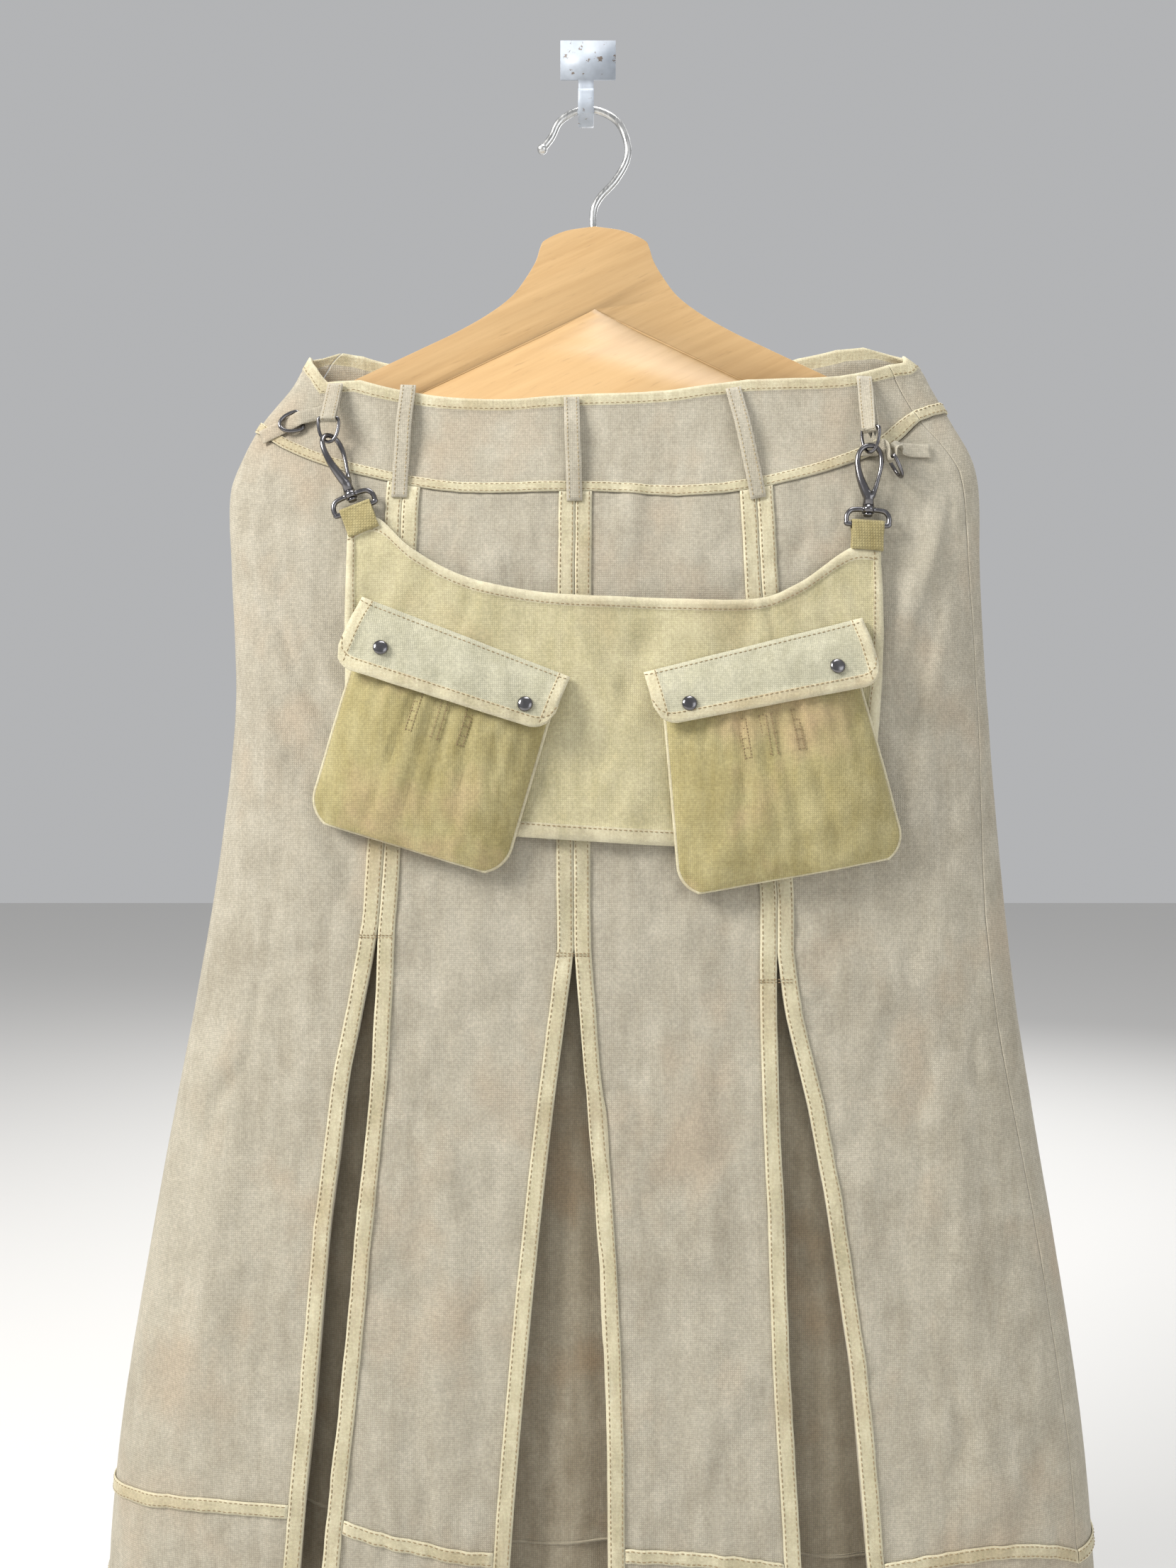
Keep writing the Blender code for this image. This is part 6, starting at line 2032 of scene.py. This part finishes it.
def line_down(name, place):
    """Points and normals down a sheet at a place across it."""
    surface = SURFACES[name]
    j, u = place_index(surface.column_places, place)
    points = [row[j].lerp(row[j + 1], u) for row in surface.rows]
    outs = [surface_normal(surface.rows, i, j) for i in range(len(points))]
    return points, outs


def line_across(name, place):
    """Points and normals across a sheet at a place down it."""
    surface = SURFACES[name]
    i, u = place_index(surface.row_places, place)
    points = [a.lerp(b, u) for a, b in zip(surface.rows[i], surface.rows[i + 1])]
    outs = [surface_normal(surface.rows, i, j) for j in range(len(points))]
    return points, outs


def line_on_strip(name, share, side=1, start=0.0, end=1.0):
    lines = STRIPS[name]
    low, high = round(start * (len(lines) - 1)), round(end * (len(lines) - 1))
    some = lines[low : high + 1]
    return [p + across * share + through * side for p, across, through in some], [
        (through * side).normalized() for _, _, through in some
    ]


def stitched(name, lines, material, pitch=0.0031, size=0.00026):
    shape = bmesh.new()
    for points, outs in lines:
        stitch_line(shape, points, outs, pitch, size)
    mesh = bpy.data.meshes.new(name + "_mesh")
    bmesh.ops.recalc_face_normals(shape, faces=shape.faces)
    shape.to_mesh(mesh)
    shape.free()
    mesh.shade_smooth()
    made = add_object(name, mesh, material)
    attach(made, "skirt")
    return made


def all_stitches():
    for pleat in range(3):
        lines = []
        for side in ("left", "right"):
            name = f"pleat_band_{pleat + 1}_{side}"
            lines += [line_down(name, 0.14), line_down(name, 0.86)]
        stitched(f"pleat_stitches_{pleat + 1}", lines, THREAD)
    lines = []
    for pleat, top in zip(PLEATS, PLEAT_TOPS):
        middle = straight_row(pleat, top).left
        for drop in (0.0, 0.0016):
            points = [front_point(middle + 0.0105 * k / 5, top + drop, SEAT + BAND_CLOTH + 0.0002)
                      for k in range(-5, 6)]
            lines.append((points, [-BACK] * len(points)))
    stitched("pleat_bartacks", lines, THREAD, 0.0022)
    for pocket in POCKETS:
        pocket_trim(pocket)
    lines = []
    for name in [f"tier_band_{k}" for k in (1, 2, 3, 4)] + ["tier_band_back"]:
        lines += [line_across(name, 0.30), line_across(name, 1.70)]
    stitched("tier_stitches", lines, THREAD)
    lines = []
    for name in [f"front_hem_{k}" for k in (1, 2, 3, 4)] + ["back_hem"]:
        lines.append(line_across(name, 3.15))
    for side in ("front", "back"):
        lines += [line_across(f"waist_tape_{side}", 0.12), line_across(f"waist_tape_{side}", 0.80)]
        lines.append(line_across(f"waistband_{side}", 0.82))
    stitched("edge_stitches", lines, THREAD)
    last_row = len(SURFACES["apron"].rows) - 1
    last_column = len(SURFACES["apron"].rows[0]) - 1
    lines = [line_across("apron", 1.7), line_across("apron", last_row - 1.7)]
    lines += [line_down("apron", 1.7), line_down("apron", last_column - 1.7)]
    for flap in FLAPS:
        name = f"flap_{flap.name}"
        last = len(SURFACES[name].rows[0]) - 1
        lines += [line_across(name, 12.4), line_down(name, 2.6), line_down(name, last - 2.6)]
        lines.append(line_across(name, 1.0))
    stitched("apron_stitches", lines, THREAD, 0.0029)
    lines = []
    for side in ("front", "back"):
        for k in (1, 2, 3):
            name = f"belt_loop_{side}_{k}"
            outer = loop_side(name)
            lines += [line_on_strip(name, share, outer) for share in (-0.62, 0.62)]
    for name in ("side_strap_left", "side_strap_right"):
        lines += [line_on_strip(name, share, loop_side(name, -1), 0.62, 1.0) for share in (-0.68, 0.68)]
    stitched("loop_stitches", lines, PALE_THREAD, 0.0026)


def loop_side(name, at=None):
    """Which face of a strip looks outwards."""
    lines = STRIPS[name]
    _, _, through = lines[at if at is not None else len(lines) // 2]
    back = "back" in name
    return 1 if (through.y > 0) == back else -1


# Dressing the frame


BODIES = {"spare_ring_left": "left_ring", "spare_ring_right": "right_ring"}


def settle(node):
    """Turn a piece into a plain mesh with its modifiers applied, on its body in the frame."""
    made = bpy.data.objects[node + "_piece"]
    graph = bpy.context.evaluated_depsgraph_get()
    mesh = bpy.data.meshes.new_from_object(made.evaluated_get(graph))
    mesh.transform(made.matrix_world)
    kept = [m for m in made.data.materials]
    collection = made.users_collection[0]
    bpy.data.objects.remove(made, do_unlink=True)
    shape = bmesh.new()
    shape.from_mesh(mesh)
    bmesh.ops.remove_doubles(shape, verts=shape.verts, dist=2e-6)
    shape.to_mesh(mesh)
    shape.free()
    if not mesh.materials:
        for material in kept:
            mesh.materials.append(material)
    piece = bpy.data.objects.new(node + "_piece", mesh)
    collection.objects.link(piece)
    mesh.shade_smooth()
    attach(piece, BODIES.get(node, "skirt"))
    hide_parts(node)
    return piece


def settle_all():
    bpy.context.view_layer.update()
    for node in sorted(frame["nodes"]):
        if node + "_piece" in bpy.data.objects:
            settle(node)
    for cutter in list(CUTTERS.objects):
        bpy.data.objects.remove(cutter, do_unlink=True)


def line_length(points):
    return sum((b - a).length for a, b in zip(points, points[1:]))


def declare_sheet(name):
    """Measure the sizes of a cloth sheet's flat cut along its rows and columns; nothing is done with them."""
    rows = SURFACES[name].rows
    width = max(line_length(row) for row in rows)
    length = max(line_length(column) for column in zip(*rows))
    for upper, lower in zip(rows, rows[1:]):
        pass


def declare_sheets():
    declare_sheet("back_panel")
    declare_sheet("back_hem")
    declare_sheet("waistband_front")
    declare_sheet("waistband_back")
    for panel in (1, 2, 3, 4):
        declare_sheet(f"front_panel_{panel}")
        declare_sheet(f"front_hem_{panel}")
    for pleat in (1, 2, 3):
        declare_sheet(f"pleat_insert_{pleat}")
    declare_sheet("apron")
    for flap in ("flap_left", "flap_right"):
        declare_sheet(flap)


def build():
    panels = front_panels()
    hems = hem_tiers()
    back, back_hem = back_pieces()
    pleat_inserts(panels, hems)
    waistband("front")
    waistband("back")
    pleat_bands(panels, hems)
    tier_bands(panels, hems, back, back_hem)
    belt_loops()
    for chain in CHAINS:
        side_strap(chain)
        strap_ring(chain)
        snap_hook(chain)
        swivel_ring(chain)
        webbing_loop(chain)
    left_tab()
    right_tab()
    apron()
    for pocket in POCKETS:
        pocket_bag(pocket)
    flaps()
    hanger()
    hanger_hook()
    wall_hook()


def area_light(name, place, target, size, power, colour):
    data = bpy.data.lights.new(name, "AREA")
    data.shape = "RECTANGLE"
    data.size, data.size_y = size
    data.energy = power
    data.color = colour
    made = bpy.data.objects.new(name, data)
    bpy.context.scene.collection.objects.link(made)
    made.location = place
    made.rotation_mode = "QUATERNION"
    made.rotation_quaternion = (Vector(target) - Vector(place)).to_track_quat("-Z", "Y")


def stage():
    """A pale floor, a soft studio light and the photograph's camera."""
    floor = bpy.data.meshes.new("floor")
    size, low = 6.0, -1.06
    corners = [(-size, -size, low), (size, -size, low), (size, size, low), (-size, size, low)]
    floor.from_pydata(corners, [], [(0, 1, 2, 3)])
    made = bpy.data.objects.new("floor", floor)
    bpy.context.scene.collection.objects.link(made)
    floor.materials.append(start_material("pale_floor", (0.74, 0.73, 0.71), 0.8)[0])
    world = bpy.data.worlds.new("studio")
    bpy.context.scene.world = world
    world.use_nodes = True
    sky = world.node_tree.nodes["Background"]
    sky.inputs["Color"].default_value = (0.90, 0.91, 0.93, 1)
    sky.inputs["Strength"].default_value = 0.50
    area_light("key", (-1.7, -1.1, 0.9), (0, 0, -0.5), (0.9, 0.9), 66, (1.0, 0.98, 0.95))
    area_light("fill", (1.6, -1.6, -0.1), (0, 0, -0.5), (1.4, 1.4), 11, (0.95, 0.97, 1.0))
    area_light("top", (0.2, -0.2, 1.4), (0, 0, -0.5), (1.0, 0.6), 14, (1.0, 1.0, 1.0))
    area_light("rear", (0.6, 1.8, 0.6), (0, 0, -0.5), (1.4, 1.4), 22, (1.0, 1.0, 1.0))
    lens = bpy.data.cameras.new("camera")
    lens.sensor_width = 36.0
    lens.lens = 30.53
    lens.clip_start = 0.05
    camera = bpy.data.objects.new("camera", lens)
    bpy.context.scene.collection.objects.link(camera)
    camera.location = (0, -0.826, -0.449)
    camera.rotation_euler = (math.pi / 2, 0, 0)
    bpy.context.scene.camera = camera
    bpy.context.scene.view_settings.view_transform = "Standard"


build()
all_stitches()
settle_all()
declare_sheets()
stage()
